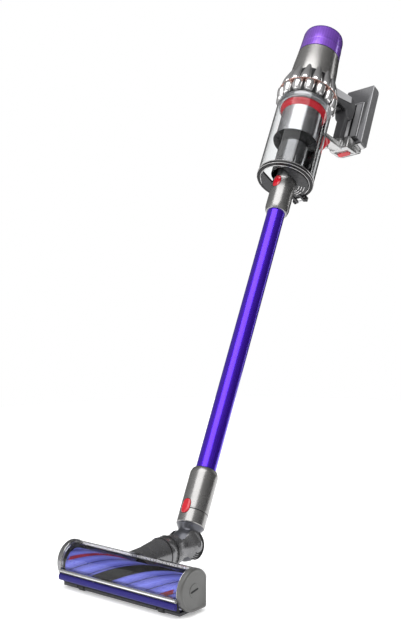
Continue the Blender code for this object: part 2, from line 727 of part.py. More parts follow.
def bin_collar(frame):
    """The stepped collar that the bin's mouth slides over, with its lip seal."""
    inner = SHROUD_RADIUS - 0.0016
    low = RED_RING_TOP + GAP
    profile = [(0.0480, low), (0.0508, low + 0.0020), (0.0508, low + 0.0045), (0.0518, low + 0.0055),
               (0.0518, CYCLONE_BOTTOM - GAP), (inner, CYCLONE_BOTTOM - GAP), (inner, low)]
    return place(turned("bin_collar", profile, ROUND_LARGE), GREY, frame)


# ---------------------------------------------------------------- cyclones, motor and filter

def lobed_ring(station, radius, depth, segments_per_lobe, offset):
    """A ring with one rounded lobe per cyclone; depth is how far the valleys fall."""
    points = []
    count = CYCLONE_COUNT * segments_per_lobe
    for i in range(count):
        angle = math.tau * i / count
        wave = abs(math.cos(0.5 * CYCLONE_COUNT * (angle + offset)))
        local = radius - depth * (1.0 - wave ** 0.8)
        points.append((local * math.cos(angle), local * math.sin(angle), station))
    return points


def plain_ring(station, radius, count):
    return [(radius * math.cos(math.tau * i / count), radius * math.sin(math.tau * i / count), station)
            for i in range(count)]


def cyclone_drums(frame):
    """The lower tier: a ring of short drums."""
    steps = 4
    count = CYCLONE_COUNT * steps
    top = CYCLONE_SPLIT - GAP
    inner = 0.0440
    rings = [plain_ring(CYCLONE_BOTTOM, 0.0565, count),
             lobed_ring(CYCLONE_BOTTOM + 0.0035, CYCLONE_RADIUS - 0.001, 0.004, steps, 0.0),
             lobed_ring(CYCLONE_BOTTOM + 0.0170, CYCLONE_RADIUS, 0.006, steps, 0.0),
             lobed_ring(top, CYCLONE_RADIUS - 0.0030, 0.004, steps, 0.0),
             plain_ring(top, inner, count),
             plain_ring(CYCLONE_BOTTOM, inner, count)]
    return place(loft("cyclone_drums", rings, closed=True), NICKEL, frame)


def cyclone_seal(frame):
    """The copper-coloured gasket between the two tiers."""
    low = CYCLONE_SPLIT
    high = CYCLONE_SPLIT + 0.0012
    return place(tube("cyclone_seal", 0.0565, 0.0440, low, high, ROUND_LARGE), COPPER, frame)


def cyclone_cones(frame):
    """The upper tier: long lobes that close in on the motor housing."""
    steps = 4
    count = CYCLONE_COUNT * steps
    low = CYCLONE_SPLIT + 0.0012 + GAP
    offset = math.pi / CYCLONE_COUNT
    span = CYCLONE_TOP - low
    rings = [lobed_ring(low, CYCLONE_RADIUS - 0.0030, 0.005, steps, offset)]
    for part in (0.25, 0.55, 0.85):
        radius = MOTOR_RADIUS + (CYCLONE_RADIUS - 0.0025 - MOTOR_RADIUS) * math.cos(0.5 * math.pi * part) ** 0.9
        depth = 0.0065 * (1.0 - part)
        rings.append(lobed_ring(low + span * part, radius, depth, steps, offset))
    rings.append(plain_ring(CYCLONE_TOP, MOTOR_RADIUS, count))
    rings.append(plain_ring(CYCLONE_TOP, 0.0400, count))
    rings.append(plain_ring(low, 0.0440, count))
    return place(loft("cyclone_cones", rings, closed=True), NICKEL, frame)


def motor_housing(frame):
    low = CYCLONE_TOP + GAP
    profile = [(MOTOR_RADIUS, low), (0.0455, 1.0300), (FILTER_RADIUS, MOTOR_TOP), (FILTER_RADIUS - 0.0022, MOTOR_TOP),
               (0.0432, 1.0300), (0.0440, low)]
    return place(turned("motor_housing", profile, ROUND_LARGE), NICKEL, frame)


def motor_stator(frame):
    return place(tube("motor_stator", 0.0240, 0.0110, 1.0120, 1.0340, 24), COPPER, frame)


def impeller(frame):
    """The fan: a hub with straight radial blades."""
    blades = 9
    outline = []
    for i in range(blades):
        for radius, part in ((0.0085, 0.0), (0.0085, 0.55), (0.0215, 0.62), (0.0215, 0.78)):
            angle = math.tau * (i + part) / blades
            outline.append((radius * math.cos(angle), radius * math.sin(angle)))
    fan = prism("impeller", outline, 0.9900, 0.9990, axis="Z")
    cut(fan, rod("bore", 0.0025, 0.98, 1.01, 16))
    return place(fan, STEEL, frame)


def motor_rotor(frame):
    """The rotor magnet and its shaft."""
    profile = [(0.0, 0.9880), (0.0021, 0.9880), (0.0021, 1.0110), (0.0095, 1.0125), (0.0095, 1.0335),
               (0.0021, 1.0345), (0.0021, 1.0400), (0.0, 1.0400)]
    return place(turned("motor_rotor", profile, 16), STEEL, frame)


def control_board(frame):
    return place(tube("control_board", 0.0360, 0.0080, 1.0430, 1.0446, 24), GREEN, frame)


def filter_shell(frame):
    """The purple cup over the filter: a slightly tapered wall and a dished end."""
    low = MOTOR_TOP + GAP
    top = FILTER_TOP
    profile = [(FILTER_RADIUS, low), (FILTER_RADIUS - 0.0003, low + 0.0060), (0.0412, top - 0.0040),
               (0.0400, top - 0.0012), (0.0380, top), (0.0330, top), (0.0320, top - 0.0010), (0.0, top - 0.0010),
               (0.0, top - 0.0030), (0.0388, top - 0.0032), (0.0402, low)]
    return place(turned("filter_shell", profile, ROUND_LARGE), PURPLE, frame)


def filter_pleats(frame):
    """The pleated paper ring inside the filter shell."""
    pleats = 24
    count = pleats * 2
    low = MOTOR_TOP + 0.0025
    high = FILTER_TOP - 0.0060

    def pleated(station):
        points = []
        for i in range(count):
            radius = 0.0378 if i % 2 == 0 else 0.0345
            angle = math.tau * i / count
            points.append((radius * math.cos(angle), radius * math.sin(angle), station))
        return points

    rings = [pleated(low), pleated(high), plain_ring(high, 0.0300, count), plain_ring(low, 0.0300, count)]
    return place(loft("filter_pleats", rings, closed=True), WHITE, frame)


# ---------------------------------------------------------------- handle, trigger and battery

def grip(frame):
    """The hand grip: a raked beam from the motor, and the post that runs down to the strut."""
    outline = [(0.0400, 1.0250), (0.1130, 1.0533), (0.1220, 1.0552), (0.1300, 1.0520), (0.1348, 1.0440),
               (0.1362, 1.0300), (0.1352, 1.0090), (0.1290, 1.0002), (0.1150, 1.0002), (0.1120, 1.0080),
               (0.1080, 1.0180), (0.0800, 1.0045), (0.0400, 0.9970)]
    beam = prism("grip", outline, -GRIP_HALF_WIDTH, GRIP_HALF_WIDTH)
    soften(beam, 0.0040, 2, 25.0)
    post = prism("post", [(0.1150, 1.0100), (0.1285, 1.0100), (0.1285, 0.9455), (0.1150, 0.9455)],
                 -HANDLE_HALF_WIDTH, HANDLE_HALF_WIDTH)
    join(beam, soften(post, 0.0030, 2))
    cut(beam, rod("seat", MOTOR_RADIUS + 0.0008, 0.9, 1.1, 64))
    slot = [(0.0660, 0.9900), (0.0660, 1.0190), (0.0850, 1.0270), (0.1105, 1.0330), (0.1105, 0.9900)]
    cut(beam, prism("slot", slot, -TRIGGER_HALF_WIDTH - 0.0007, TRIGGER_HALF_WIDTH + 0.0007))
    pin_centre = (0.0, TRIGGER_PIVOT.y, TRIGGER_PIVOT.z)
    cut(beam, rod("pin_hole", 0.0015, -0.0150, 0.0150, 14, "X", pin_centre))
    return place(beam, CHARCOAL, frame)


def grip_panel(frame, name, side):
    """The pale plate on each flank of the grip."""
    outline = [(0.0535, 1.0280), (0.1120, 1.0508), (0.1150, 1.0365), (0.0745, 1.0175), (0.0535, 1.0120)]
    low, high = sorted((side * (GRIP_HALF_WIDTH + GAP), side * (GRIP_HALF_WIDTH + 0.0018)))
    return place(soften(prism(name, outline, low, high), 0.0005), LIGHT_GREY, frame)


def trigger(frame):
    """The finger lever under the grip."""
    outline = [(0.0690, 1.0120), (0.0720, 1.0165), (0.0800, 1.0180), (0.1040, 1.0245), (0.1060, 1.0170),
               (0.1010, 1.0085), (0.0880, 1.0010), (0.0740, 0.9990), (0.0690, 1.0060)]
    lever = prism("trigger", outline, -TRIGGER_HALF_WIDTH, TRIGGER_HALF_WIDTH)
    soften(lever, 0.0012, 1, 25.0)
    cut(lever, rod("bore", 0.0015, -0.03, 0.03, 14, "X", (0.0, TRIGGER_PIVOT.y, TRIGGER_PIVOT.z)))
    return place(lever, BLACK, frame, TRIGGER_PIVOT)


def trigger_pin(frame):
    centre = (0.0, TRIGGER_PIVOT.y, TRIGGER_PIVOT.z)
    return place(rod("trigger_pin", 0.0012, -0.0148, 0.0148, 14, "X", centre), STEEL, frame)


def handle_strut(frame):
    """The bright bar from the bin's runner to the battery's foot."""
    outline = [(0.0618, 0.9040), (0.1283, 0.9230), (0.1283, 0.9452), (0.1140, 0.9452), (0.1120, 0.9330),
               (0.0618, 0.9180)]
    bar = prism("handle_strut", outline, -STRUT_HALF_WIDTH, STRUT_HALF_WIDTH)
    soften(bar, 0.0025, 2, 25.0)
    boss = turned("boss", [(0.0, 0.9000), (0.0045, 0.9000), (0.0055, 0.9012), (0.0055, 0.9160), (0.0, 0.9160)],
                  20, "Z", (0.0, 0.0900, 0.0))
    join(bar, boss)
    return place(bar, NICKEL, frame)


def bin_runner(frame):
    """The rail along the bin that the strut stands on."""
    outline = [(0.0563, 0.8660), (0.0600, 0.8640), (0.0615, 0.8700), (0.0615, 0.9297), (0.0563, 0.9297)]
    return place(prism("bin_runner", outline, -HANDLE_HALF_WIDTH, HANDLE_HALF_WIDTH), CHARCOAL, frame)


def bin_release_lever(frame):
    """The red slide that frees the bin and its door."""
    outline = [(0.0620, 0.9033), (0.0815, 0.9075), (0.0820, 0.9010), (0.0665, 0.8700), (0.0620, 0.8690)]
    slide = prism("bin_release_lever", outline, -0.0170, 0.0170)
    soften(slide, 0.0020, 2, 25.0)
    return place(slide, RED, frame, (0.0, 0.0700, 0.8850))


def battery_case(frame):
    """The battery's slab with the raised block on its inner face, open at the foot."""
    radius = 0.0090
    outline = [(BATTERY_FRONT, BATTERY_BOTTOM), (BATTERY_FRONT, BATTERY_TOP)]
    outline += arc((BATTERY_BACK - radius, BATTERY_TOP - radius), radius, 90.0, 0.0, 6)
    outline += [(BATTERY_BACK, BATTERY_BOTTOM + 0.004), (BATTERY_BACK - 0.004, BATTERY_BOTTOM)]
    slab = prism("battery_case", outline, -BATTERY_HALF_WIDTH, BATTERY_HALF_WIDTH)
    soften(slab, 0.0015, 1, 50.0)
    ridge = [(BATTERY_FRONT + 0.002, 0.9680), (RIDGE_FRONT, 0.9680), (RIDGE_FRONT, 1.0640),
             (BATTERY_FRONT + 0.002, 1.0740)]
    block = prism("ridge", ridge, -RIDGE_HALF_WIDTH, RIDGE_HALF_WIDTH)
    join(slab, soften(block, 0.0015, 1, 50.0))
    join(slab, box("rail", (-0.0038, RIDGE_FRONT - 0.0009, 0.9720), (0.0038, RIDGE_FRONT + 0.001, 1.0600)))
    room = box("room", (-0.0305, BATTERY_FRONT + 0.0022, 0.95), (0.0305, BATTERY_BACK - 0.0022, 1.1080))
    cut(slab, room)
    return place(slab, GREY, frame)


def battery_cells(frame):
    """Two rows of three cells, held side by side as one wrapped pack."""
    radius = 0.0094
    pitch = 0.0180
    centre_y = (BATTERY_FRONT + BATTERY_BACK) / 2
    half_angle = math.degrees(math.acos(0.5 * pitch / radius))
    outline = []
    for column in (-1, 0, 1):
        start = 180.0 if column == -1 else 180.0 + half_angle
        end = 360.0 if column == 1 else 360.0 - half_angle
        outline += arc((column * pitch, centre_y), radius, start, end, 8)[(column != -1):]
    for column in (1, 0, -1):
        start = 0.0 if column == 1 else half_angle
        end = 180.0 if column == -1 else 180.0 - half_angle
        outline += arc((column * pitch, centre_y), radius, start, end, 8)[1:]
    outline = outline[:-1]
    return place(prism("battery_cells", outline, 0.9640, 1.1000, axis="Z"), GREEN, frame)


def sideways_oval(half_depth, half_length):
    """An oval under the battery's foot, long across the stick."""
    return [(along, BATTERY_BUTTON_Y + across) for across, along in stadium((0.0, 0.0), half_depth, half_length)]


def battery_foot(frame):
    """The bright end piece that closes the battery's foot, with the pocket for its release button."""
    outline = [(0.1293, 0.9300), (0.1340, 0.9285), (0.1650, 0.9380), (0.1790, 0.9500), (0.1790, 0.9595),
               (0.1293, 0.9595)]
    foot = prism("battery_foot", outline, -FOOT_HALF_WIDTH, FOOT_HALF_WIDTH)
    soften(foot, 0.0030, 2, 25.0)
    join(foot, box("plug", (-0.0300, BATTERY_FRONT + 0.0026, 0.9588), (0.0300, BATTERY_BACK - 0.0026, 0.9632)))
    cut(foot, prism("pocket", sideways_oval(0.0064, 0.0154), 0.92, 0.9450, axis="Z"))
    return place(foot, NICKEL, frame)


def battery_release_button(frame):
    pad = prism("battery_release_button", sideways_oval(0.0058, 0.0148), 0.9320, 0.9415, axis="Z")
    soften(pad, 0.0006, 1, 50.0)
    return place(pad, RED, frame, (0.0, BATTERY_BUTTON_Y, 0.9370))


def build_head():
    head_housing()
    head_window()
    end_cap_left()
    end_cap_right()
    brush_lock()
    front_lip()
    bumper_strip()
    sole_plate()
    sole_felt()
    for name, side in (("left", -1), ("right", 1)):
        front_wheel("front_wheel_" + name, side)
    brush_motor()
    brush_core()
    brush_strips()
    neck_mount()
    rear_roller()


def build_neck(frame):
    neck_fork(frame)
    neck_duct(frame)
    knuckle_pin(frame)


def build_wand(frame):
    elbow(frame)
    head_connector(frame)
    head_release_button(frame)
    wand_lower_cuff(frame)
    wand_tube(frame)
    wand_upper_cuff(frame)
    wand_release_button(frame)


def build_bin(frame):
    inlet_tube(frame)
    bin_wall(frame)
    bin_rim(frame)
    bin_door(frame)
    door_hinge_pin(frame)
    dust_collector(frame)
    shroud_skirt(frame)
    shroud(frame)
    shroud_ring(frame)
    bin_collar(frame)


def build_power_unit(frame):
    cyclone_drums(frame)
    cyclone_seal(frame)
    cyclone_cones(frame)
    motor_housing(frame)
    motor_stator(frame)
    impeller(frame)
    motor_rotor(frame)
    control_board(frame)
    filter_shell(frame)
    filter_pleats(frame)


def build_handle(frame):
    grip(frame)
    grip_panel(frame, "grip_panel_left", -1)
    grip_panel(frame, "grip_panel_right", 1)
    trigger(frame)
    trigger_pin(frame)
    handle_strut(frame)
    bin_runner(frame)
    bin_release_lever(frame)
    battery_case(frame)
    battery_cells(frame)
    battery_foot(frame)
    battery_release_button(frame)


def main():
    clear_scene()
    roll = Matrix.Rotation(NECK_ROLL, 4, "Y")
    lean = Matrix.Rotation(STICK_LEAN, 4, "X")
    neck = make_frame("neck_frame", KNUCKLE, roll)
    stick = make_frame("stick_frame", KNUCKLE, roll @ lean)
    build_head()
    build_neck(neck)
    build_wand(stick)
    build_bin(stick)
    build_power_unit(stick)
    build_handle(stick)


main()
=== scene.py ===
"""Finished look of the cordless stick vacuum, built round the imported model.

Pieces on the stick are modelled in the stick's own frame: X along the knuckle pin, +Y towards
the handle, +Z up the stick from the knuckle. Lengths are in metres, and steps() takes millimetres.
"""

import json
import math
import random

import bmesh
import bpy
from mathutils import Matrix, Vector

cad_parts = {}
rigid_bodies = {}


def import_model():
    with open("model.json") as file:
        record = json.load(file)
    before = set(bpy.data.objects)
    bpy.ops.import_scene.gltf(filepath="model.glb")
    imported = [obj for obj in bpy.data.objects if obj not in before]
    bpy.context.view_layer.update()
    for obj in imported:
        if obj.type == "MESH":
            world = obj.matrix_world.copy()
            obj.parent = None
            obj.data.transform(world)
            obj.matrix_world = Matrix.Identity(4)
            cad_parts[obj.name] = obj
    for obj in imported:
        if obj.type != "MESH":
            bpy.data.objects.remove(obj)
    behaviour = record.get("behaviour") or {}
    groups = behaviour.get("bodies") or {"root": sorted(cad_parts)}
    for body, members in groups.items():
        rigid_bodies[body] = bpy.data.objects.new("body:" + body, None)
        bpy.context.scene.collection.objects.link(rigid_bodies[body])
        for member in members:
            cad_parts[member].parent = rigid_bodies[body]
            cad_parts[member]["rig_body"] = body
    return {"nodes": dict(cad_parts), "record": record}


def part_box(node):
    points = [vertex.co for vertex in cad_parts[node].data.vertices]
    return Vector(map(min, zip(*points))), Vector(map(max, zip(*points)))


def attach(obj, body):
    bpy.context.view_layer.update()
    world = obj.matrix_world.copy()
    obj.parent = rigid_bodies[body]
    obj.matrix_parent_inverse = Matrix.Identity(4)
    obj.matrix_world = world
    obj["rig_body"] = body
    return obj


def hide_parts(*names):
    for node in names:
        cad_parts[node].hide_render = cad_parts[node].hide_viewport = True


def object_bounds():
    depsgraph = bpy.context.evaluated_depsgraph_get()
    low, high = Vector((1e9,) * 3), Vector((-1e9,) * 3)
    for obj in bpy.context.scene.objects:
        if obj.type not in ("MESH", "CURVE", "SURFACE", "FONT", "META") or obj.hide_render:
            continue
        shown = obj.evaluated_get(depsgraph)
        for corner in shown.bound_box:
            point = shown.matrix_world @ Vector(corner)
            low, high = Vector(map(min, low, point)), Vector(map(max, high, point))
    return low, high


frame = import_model()
CAD_BOX = [list(corner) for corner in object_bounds()]
NODES = frame["nodes"]
JOINTS = {joint["name"]: joint for joint in frame["record"]["behaviour"]["joints"]}


def frame_matrix(x_axis, y_axis, z_axis, origin):
    matrix = Matrix((x_axis, y_axis, z_axis)).transposed().to_4x4()
    return Matrix.Translation(origin) @ matrix


KNUCKLE = Vector(JOINTS["neck_pitch"]["pos_m"])
PIN_AXIS = Vector(JOINTS["neck_pitch"]["axis"]).normalized()
STICK_AXIS = Vector(JOINTS["wand_pull"]["axis"]).normalized()
HANDLE_AXIS = STICK_AXIS.cross(PIN_AXIS).normalized()
ROLL_AXIS = Vector(JOINTS["neck_roll"]["axis"]).normalized()
STICK = frame_matrix(PIN_AXIS, HANDLE_AXIS, STICK_AXIS, KNUCKLE)
NECK = frame_matrix(PIN_AXIS, ROLL_AXIS, PIN_AXIS.cross(ROLL_AXIS).normalized(), KNUCKLE)
BRUSH_CENTRE = Vector(JOINTS["brush_spin"]["pos_m"])
HEAD = Matrix.Identity(4)
STICK_INVERSE = STICK.inverted()


def stick_range(node, axis=2):
    """Lowest and highest value of a CAD node along one axis of the stick frame."""
    values = [(STICK_INVERSE @ v.co)[axis] for v in NODES[node].data.vertices]
    return min(values), max(values)


def stick_radius(node):
    """Largest distance of a CAD node from the stick's axis."""
    return max((STICK_INVERSE @ v.co).xy.length for v in NODES[node].data.vertices)


# ------------ materials

class Shade:
    """A Principled material under construction, with short calls for its nodes."""

    def __init__(self, name, colour, roughness, metallic=0.0, place=None, **sockets):
        self.slot = "black"
        self.material = bpy.data.materials.new(name)
        self.material.use_nodes = True
        self.tree = self.material.node_tree
        self.shader = self.tree.nodes["Principled BSDF"]
        self.colour = colour
        self.roughness = roughness
        self.put("Base Color", (*colour, 1.0))
        self.put("Roughness", roughness)
        self.put("Metallic", metallic)
        for key, value in sockets.items():
            self.put(key.replace("_", " "), value)
        self.material.diffuse_color = (*colour, 1.0)
        self.position = self.node("ShaderNodeTexCoord").outputs["Object"]
        if place is not None:
            mapping = self.node("ShaderNodeMapping")
            mapping.vector_type = "TEXTURE"
            mapping.inputs["Location"].default_value = place.to_translation()
            mapping.inputs["Rotation"].default_value = place.to_euler()
            self.link(self.position, mapping.inputs["Vector"])
            self.position = mapping.outputs["Vector"]
        self.bump_normal = None

    def put(self, socket, value):
        self.shader.inputs[socket].default_value = value

    def node(self, kind):
        return self.tree.nodes.new(kind)

    def link(self, source, target):
        self.tree.links.new(source, target)

    def feed(self, value, target):
        if isinstance(value, (int, float)):
            target.default_value = value
        elif isinstance(value, tuple):
            target.default_value = (*value, 1.0)
        else:
            self.link(value, target)

    def calc(self, operation, first, second=0.0):
        node = self.node("ShaderNodeMath")
        node.operation = operation
        for value, target in zip((first, second), node.inputs):
            self.feed(value, target)
        return node.outputs[0]

    def length(self, first, second):
        """Length of a flat vector."""
        squares = [self.calc("MULTIPLY", part, part) for part in (first, second)]
        return self.calc("SQRT", self.calc("ADD", *squares))

    def axes(self):
        node = self.node("ShaderNodeSeparateXYZ")
        self.link(self.position, node.inputs[0])
        return list(node.outputs)

    def noise(self, scale, detail=3.0, stretch=None, distortion=0.0):
        vector = self.position
        if stretch is not None:
            mapping = self.node("ShaderNodeMapping")
            mapping.inputs["Scale"].default_value = stretch
            self.link(vector, mapping.inputs["Vector"])
            vector = mapping.outputs["Vector"]
        node = self.node("ShaderNodeTexNoise")
        self.link(vector, node.inputs["Vector"])
        node.inputs["Scale"].default_value = scale
        node.inputs["Detail"].default_value = detail
        node.inputs["Distortion"].default_value = distortion
        return node.outputs["Fac"]

    def remap(self, value, low, high, new_low, new_high):
        node = self.node("ShaderNodeMapRange")
        self.feed(value, node.inputs["Value"])
        numbers = {"From Min": low, "From Max": high, "To Min": new_low, "To Max": new_high}
        for key, number in numbers.items():
            node.inputs[key].default_value = number
        return node.outputs["Result"]

    def mix(self, factor, first, second):
        node = self.node("ShaderNodeMix")
        node.data_type = "RGBA"
        self.feed(factor, node.inputs[0])
        self.feed(first, node.inputs[6])
        self.feed(second, node.inputs[7])
        return node.outputs[2]

    def bump(self, height, strength, distance):
        node = self.node("ShaderNodeBump")
        node.inputs["Strength"].default_value = strength
        node.inputs["Distance"].default_value = distance
        self.feed(height, node.inputs["Height"])
        if self.bump_normal is not None:
            self.link(self.bump_normal, node.inputs["Normal"])
        self.bump_normal = node.outputs["Normal"]
        self.link(self.bump_normal, self.shader.inputs["Normal"])

    def tint(self, socket):
        self.link(socket, self.shader.inputs["Base Color"])

    def tint_between(self, value, first, second, low=0.3, high=0.7):
        """Colour that runs from one to another as a value goes from low to high."""
        self.tint(self.mix(self.remap(value, low, high, 0.0, 1.0), first, second))

    def gloss_between(self, value, smooth, rough, low=0.3, high=0.7):
        """Roughness that runs from one to another as a value goes from low to high."""
        self.link(self.remap(value, low, high, smooth, rough), self.shader.inputs["Roughness"])

    def mottle(self, amount=0.08, scale=30.0, roughness_swing=0.05):
        """Slow drift of colour and roughness, as handling and moulding leave."""
        dark = tuple(max(0.0, c * (1.0 - amount)) for c in self.colour)
        light = tuple(min(1.0, c * (1.0 + amount)) for c in self.colour)
        self.tint_between(self.noise(scale, 4.0), dark, light)
        smooth = max(0.02, self.roughness - roughness_swing)
        self.gloss_between(self.noise(scale * 3.1, 5.0), smooth, self.roughness + roughness_swing)
        return self

    def grain(self, scale=1400.0, strength=0.12, distance=0.00015):
        """Fine moulded texture."""
        self.bump(self.noise(scale, 2.0), strength, distance)
        return self

    def turned_lines(self, pitch, strength=0.1, distance=0.00005, axis=2):
        """Fine rings round the piece's own axis."""
        along = self.axes()[axis]
        wave = self.calc("SINE", self.calc("MULTIPLY", along, math.tau / pitch))
        jitter = self.noise(900.0, 2.0)
        self.bump(self.calc("ADD", wave, jitter), strength, distance)
        return self


def nickel(name="nickel", colour=(0.53, 0.53, 0.52), roughness=0.24, place=STICK):
    shade = Shade(name, colour, roughness, 0.92, place, Coat_Weight=0.25, Coat_Roughness=0.12)
    return shade.mottle(0.02, 14.0, 0.025).grain(2400.0, 0.02, 0.00002)


def plastic(name, colour, roughness=0.42, place=STICK, grain=0.14, coat=0.0, specular=0.5):
    shade = Shade(name, colour, roughness, 0.0, place, Coat_Weight=coat, Coat_Roughness=0.1,
                  Specular_IOR_Level=specular)
    return shade.mottle(0.06, 28.0, 0.05).grain(1800.0, grain, 0.00006)


def gunmetal(name, colour=(0.17, 0.17, 0.18), roughness=0.32, place=NECK):
    shade = Shade(name, colour, roughness, 0.75, place, Coat_Weight=0.2, Coat_Roughness=0.2)
    return shade.mottle(0.04, 26.0, 0.04).grain(2000.0, 0.06, 0.00004)


def anodised():
    """Violet metal, brushed along the stick."""
    shade = Shade("anodised_violet", (0.075, 0.012, 0.62), 0.26, 0.85, STICK, Coat_Weight=0.35,
                  Coat_Roughness=0.08)
    streaks = shade.noise(1.0, 3.0, (900.0, 900.0, 14.0))
    shade.tint_between(streaks, (0.065, 0.010, 0.56), (0.085, 0.016, 0.68), 0.35, 0.65)
    shade.gloss_between(streaks, 0.22, 0.30)
    shade.bump(streaks, 0.05, 0.00004)
    return shade


def clear(name, colour=(0.97, 0.98, 0.985), roughness=0.02, ior=1.30, place=STICK):
    shade = Shade(name, colour, roughness, 0.0, place, Transmission_Weight=1.0, IOR=ior)
    smudge = shade.noise(38.0, 5.0, None, 0.6)
    shade.gloss_between(smudge, roughness, roughness + 0.05, 0.45, 0.75)
    shade.bump(shade.noise(60.0, 2.0), 0.02, 0.0002)
    return shade


def red_gloss():
    colour = (0.46, 0.004, 0.014)
    shade = Shade("red_gloss", colour, 0.22, 0.0, STICK, Coat_Weight=0.4, Coat_Roughness=0.05)
    return shade.mottle(0.15, 60.0, 0.05).grain(1600.0, 0.06, 0.0001)


def brush_bands():
    """The bar's violet skin: long helical bands with a thin dark line between them, each band painted
    lighter along its crest and darker towards its edges as painted shade.
    """
    bands = 9.0
    line_start = 0.465
    place = Matrix.Translation(BRUSH_CENTRE)
    shade = Shade("brush_bands", (0.12, 0.12, 0.58), 0.34, 0.55, place, Coat_Weight=0.15)
    x, y, z = shade.axes()
    lag = shade.calc("MULTIPLY", x, math.tau * BRUSH_TURNS / (2.0 * BRUSH_REACH))
    turned = shade.calc("SUBTRACT", shade.calc("ARCTAN2", z, y), lag)
    phase = shade.calc("FRACT", shade.calc("MULTIPLY", turned, bands / math.tau))
    edge = shade.calc("ABSOLUTE", shade.calc("SUBTRACT", phase, 0.5))
    line = shade.calc("GREATER_THAN", edge, line_start)
    rise = shade.remap(edge, 0.0, 0.5, 1.0, 0.0)
    strands = shade.noise(1.0, 4.0, (60.0, 1400.0, 1400.0))
    # Painted shade: the colour follows each band's crest height, light on the crest and dark at its edges,
    # mixed with the strands' own tone.
    pile_tone_and_shade = shade.calc("ADD", shade.calc("MULTIPLY", rise, 0.7), shade.remap(strands, 0.3, 0.7, 0.0, 0.3))
    body = shade.mix(pile_tone_and_shade, (0.040, 0.040, 0.30), (0.19, 0.21, 0.76))
    shade.tint(shade.mix(line, body, (0.010, 0.010, 0.09)))
    shade.gloss_between(strands, 0.30, 0.46)
    shade.bump(rise, 0.5, 0.0009)
    shade.bump(strands, 0.2, 0.0002)
    return shade


def perforated():
    """Polished steel with rows of fine holes in a hexagonal layout, the holes painted near-black as painted
    shade inside them.
    """
    columns = 180.0
    row_pitch = 0.0026
    hole_radius = 0.20
    shade = Shade("perforated_steel", (0.62, 0.62, 0.64), 0.2, 1.0, STICK)
    x, y, z = shade.axes()
    across = shade.calc("MULTIPLY", shade.calc("ARCTAN2", y, x), columns / math.tau)
    along = shade.calc("DIVIDE", z, row_pitch)
    holes = []
    for shift in (0.0, 0.5):
        offsets = []
        for count in (across, along):
            fraction = shade.calc("FRACT", shade.calc("ADD", count, shift))
            offsets.append(shade.calc("SUBTRACT", fraction, 0.5))
        holes.append(shade.calc("LESS_THAN", shade.length(*offsets), hole_radius))
    hole = shade.calc("MAXIMUM", *holes)
    wash = shade.noise(18.0, 3.0)
    steel = shade.mix(shade.remap(wash, 0.3, 0.7, 0.0, 1.0), (0.56, 0.56, 0.58), (0.70, 0.70, 0.72))
    # Painted shade: the holes are coloured near-black for the shade inside them.
    shade.tint(shade.mix(hole, steel, (0.03, 0.03, 0.035)))
    shade.gloss_between(wash, 0.16, 0.26)
    shade.bump(shade.calc("SUBTRACT", 1.0, hole), 0.5, 0.0004)
    return shade


def filter_skin():
    """Tinted filter cup: pleats show faintly through it."""
    pleats = 48.0
    shade = Shade("filter_violet", (0.24, 0.09, 0.60), 0.22, 0.62, STICK, Coat_Weight=0.6,
                  Coat_Roughness=0.06)
    x, y = shade.axes()[:2]
    pleat = shade.calc("SINE", shade.calc("MULTIPLY", shade.calc("ARCTAN2", y, x), pleats))
    blur = shade.calc("ADD", pleat, shade.remap(shade.noise(40.0, 3.0), 0.3, 0.7, -0.8, 0.8))
    shade.tint_between(blur, (0.215, 0.075, 0.54), (0.275, 0.115, 0.68), -1.8, 1.8)
    shade.gloss_between(shade.noise(70.0, 4.0), 0.19, 0.26)
    return shade


def rings_shade(name, colour, roughness, metallic, centre, pitch):
    """A moulded face with fine rings about one point of the head's end."""
    shade = Shade(name, colour, roughness, metallic, Matrix.Translation(centre), Coat_Weight=0.25)
    y, z = shade.axes()[1:]
    wave = shade.calc("SINE", shade.calc("MULTIPLY", shade.length(y, z), math.tau / pitch))
    shade.mottle(0.08, 30.0, 0.04)
    shade.bump(wave, 0.25, 0.0003)
    return shade.grain(1500.0, 0.08, 0.0001)


def fibre(name, dark, light, scale=700.0, sheen=0.3):
    """Matte fibrous surface of felt, bristle or paper."""
    shade = Shade(name, light, 0.8, 0.0, None, Sheen_Weight=sheen)
    thread = shade.noise(scale, 5.0, None, 1.2)
    shade.tint_between(thread, dark, light)
    shade.bump(thread, 0.5, 0.0005)
    return shade


def wound(name, colour, metallic, pitch, place=STICK):
    """Layered inner parts: windings, laminations and wrapped cans."""
    shade = Shade(name, colour, 0.4, metallic, place)
    return shade.mottle(0.2, 80.0, 0.08).turned_lines(pitch, 0.6, 0.0004)


def board_shade():
    shade = Shade("board", (0.02, 0.16, 0.06), 0.4, 0.0, STICK)
    tracks = shade.node("ShaderNodeTexBrick")
    shade.link(shade.position, tracks.inputs["Vector"])
    tracks.inputs["Scale"].default_value = 240.0
    tracks.inputs["Color1"].default_value = (0.02, 0.16, 0.06, 1.0)
    tracks.inputs["Color2"].default_value = (0.03, 0.22, 0.09, 1.0)
    tracks.inputs["Mortar"].default_value = (0.45, 0.30, 0.10, 1.0)
    shade.tint(tracks.outputs["Color"])
    return shade.grain(1200.0, 0.1, 0.0001)


def ribbed_rubber(name):
    shade = Shade(name, (0.016, 0.016, 0.018), 0.5, 0.0, NECK)
    return shade.mottle(0.2, 40.0, 0.06).turned_lines(0.0022, 0.5, 0.0005, 1)


SHARP_ANGLE = math.radians(32.0)
MERGE_DISTANCE = 0.000001
CAD_MERGE_DISTANCE = 0.00001
FLAT_ANGLE = math.radians(0.8)


def add_object(name, data):
    thing = bpy.data.objects.new(name, data)
    bpy.context.scene.collection.objects.link(thing)
    return thing


def mesh_from(name, bm):
    mesh = bpy.data.meshes.new(name)
    bm.to_mesh(mesh)
    bm.free()
    return mesh


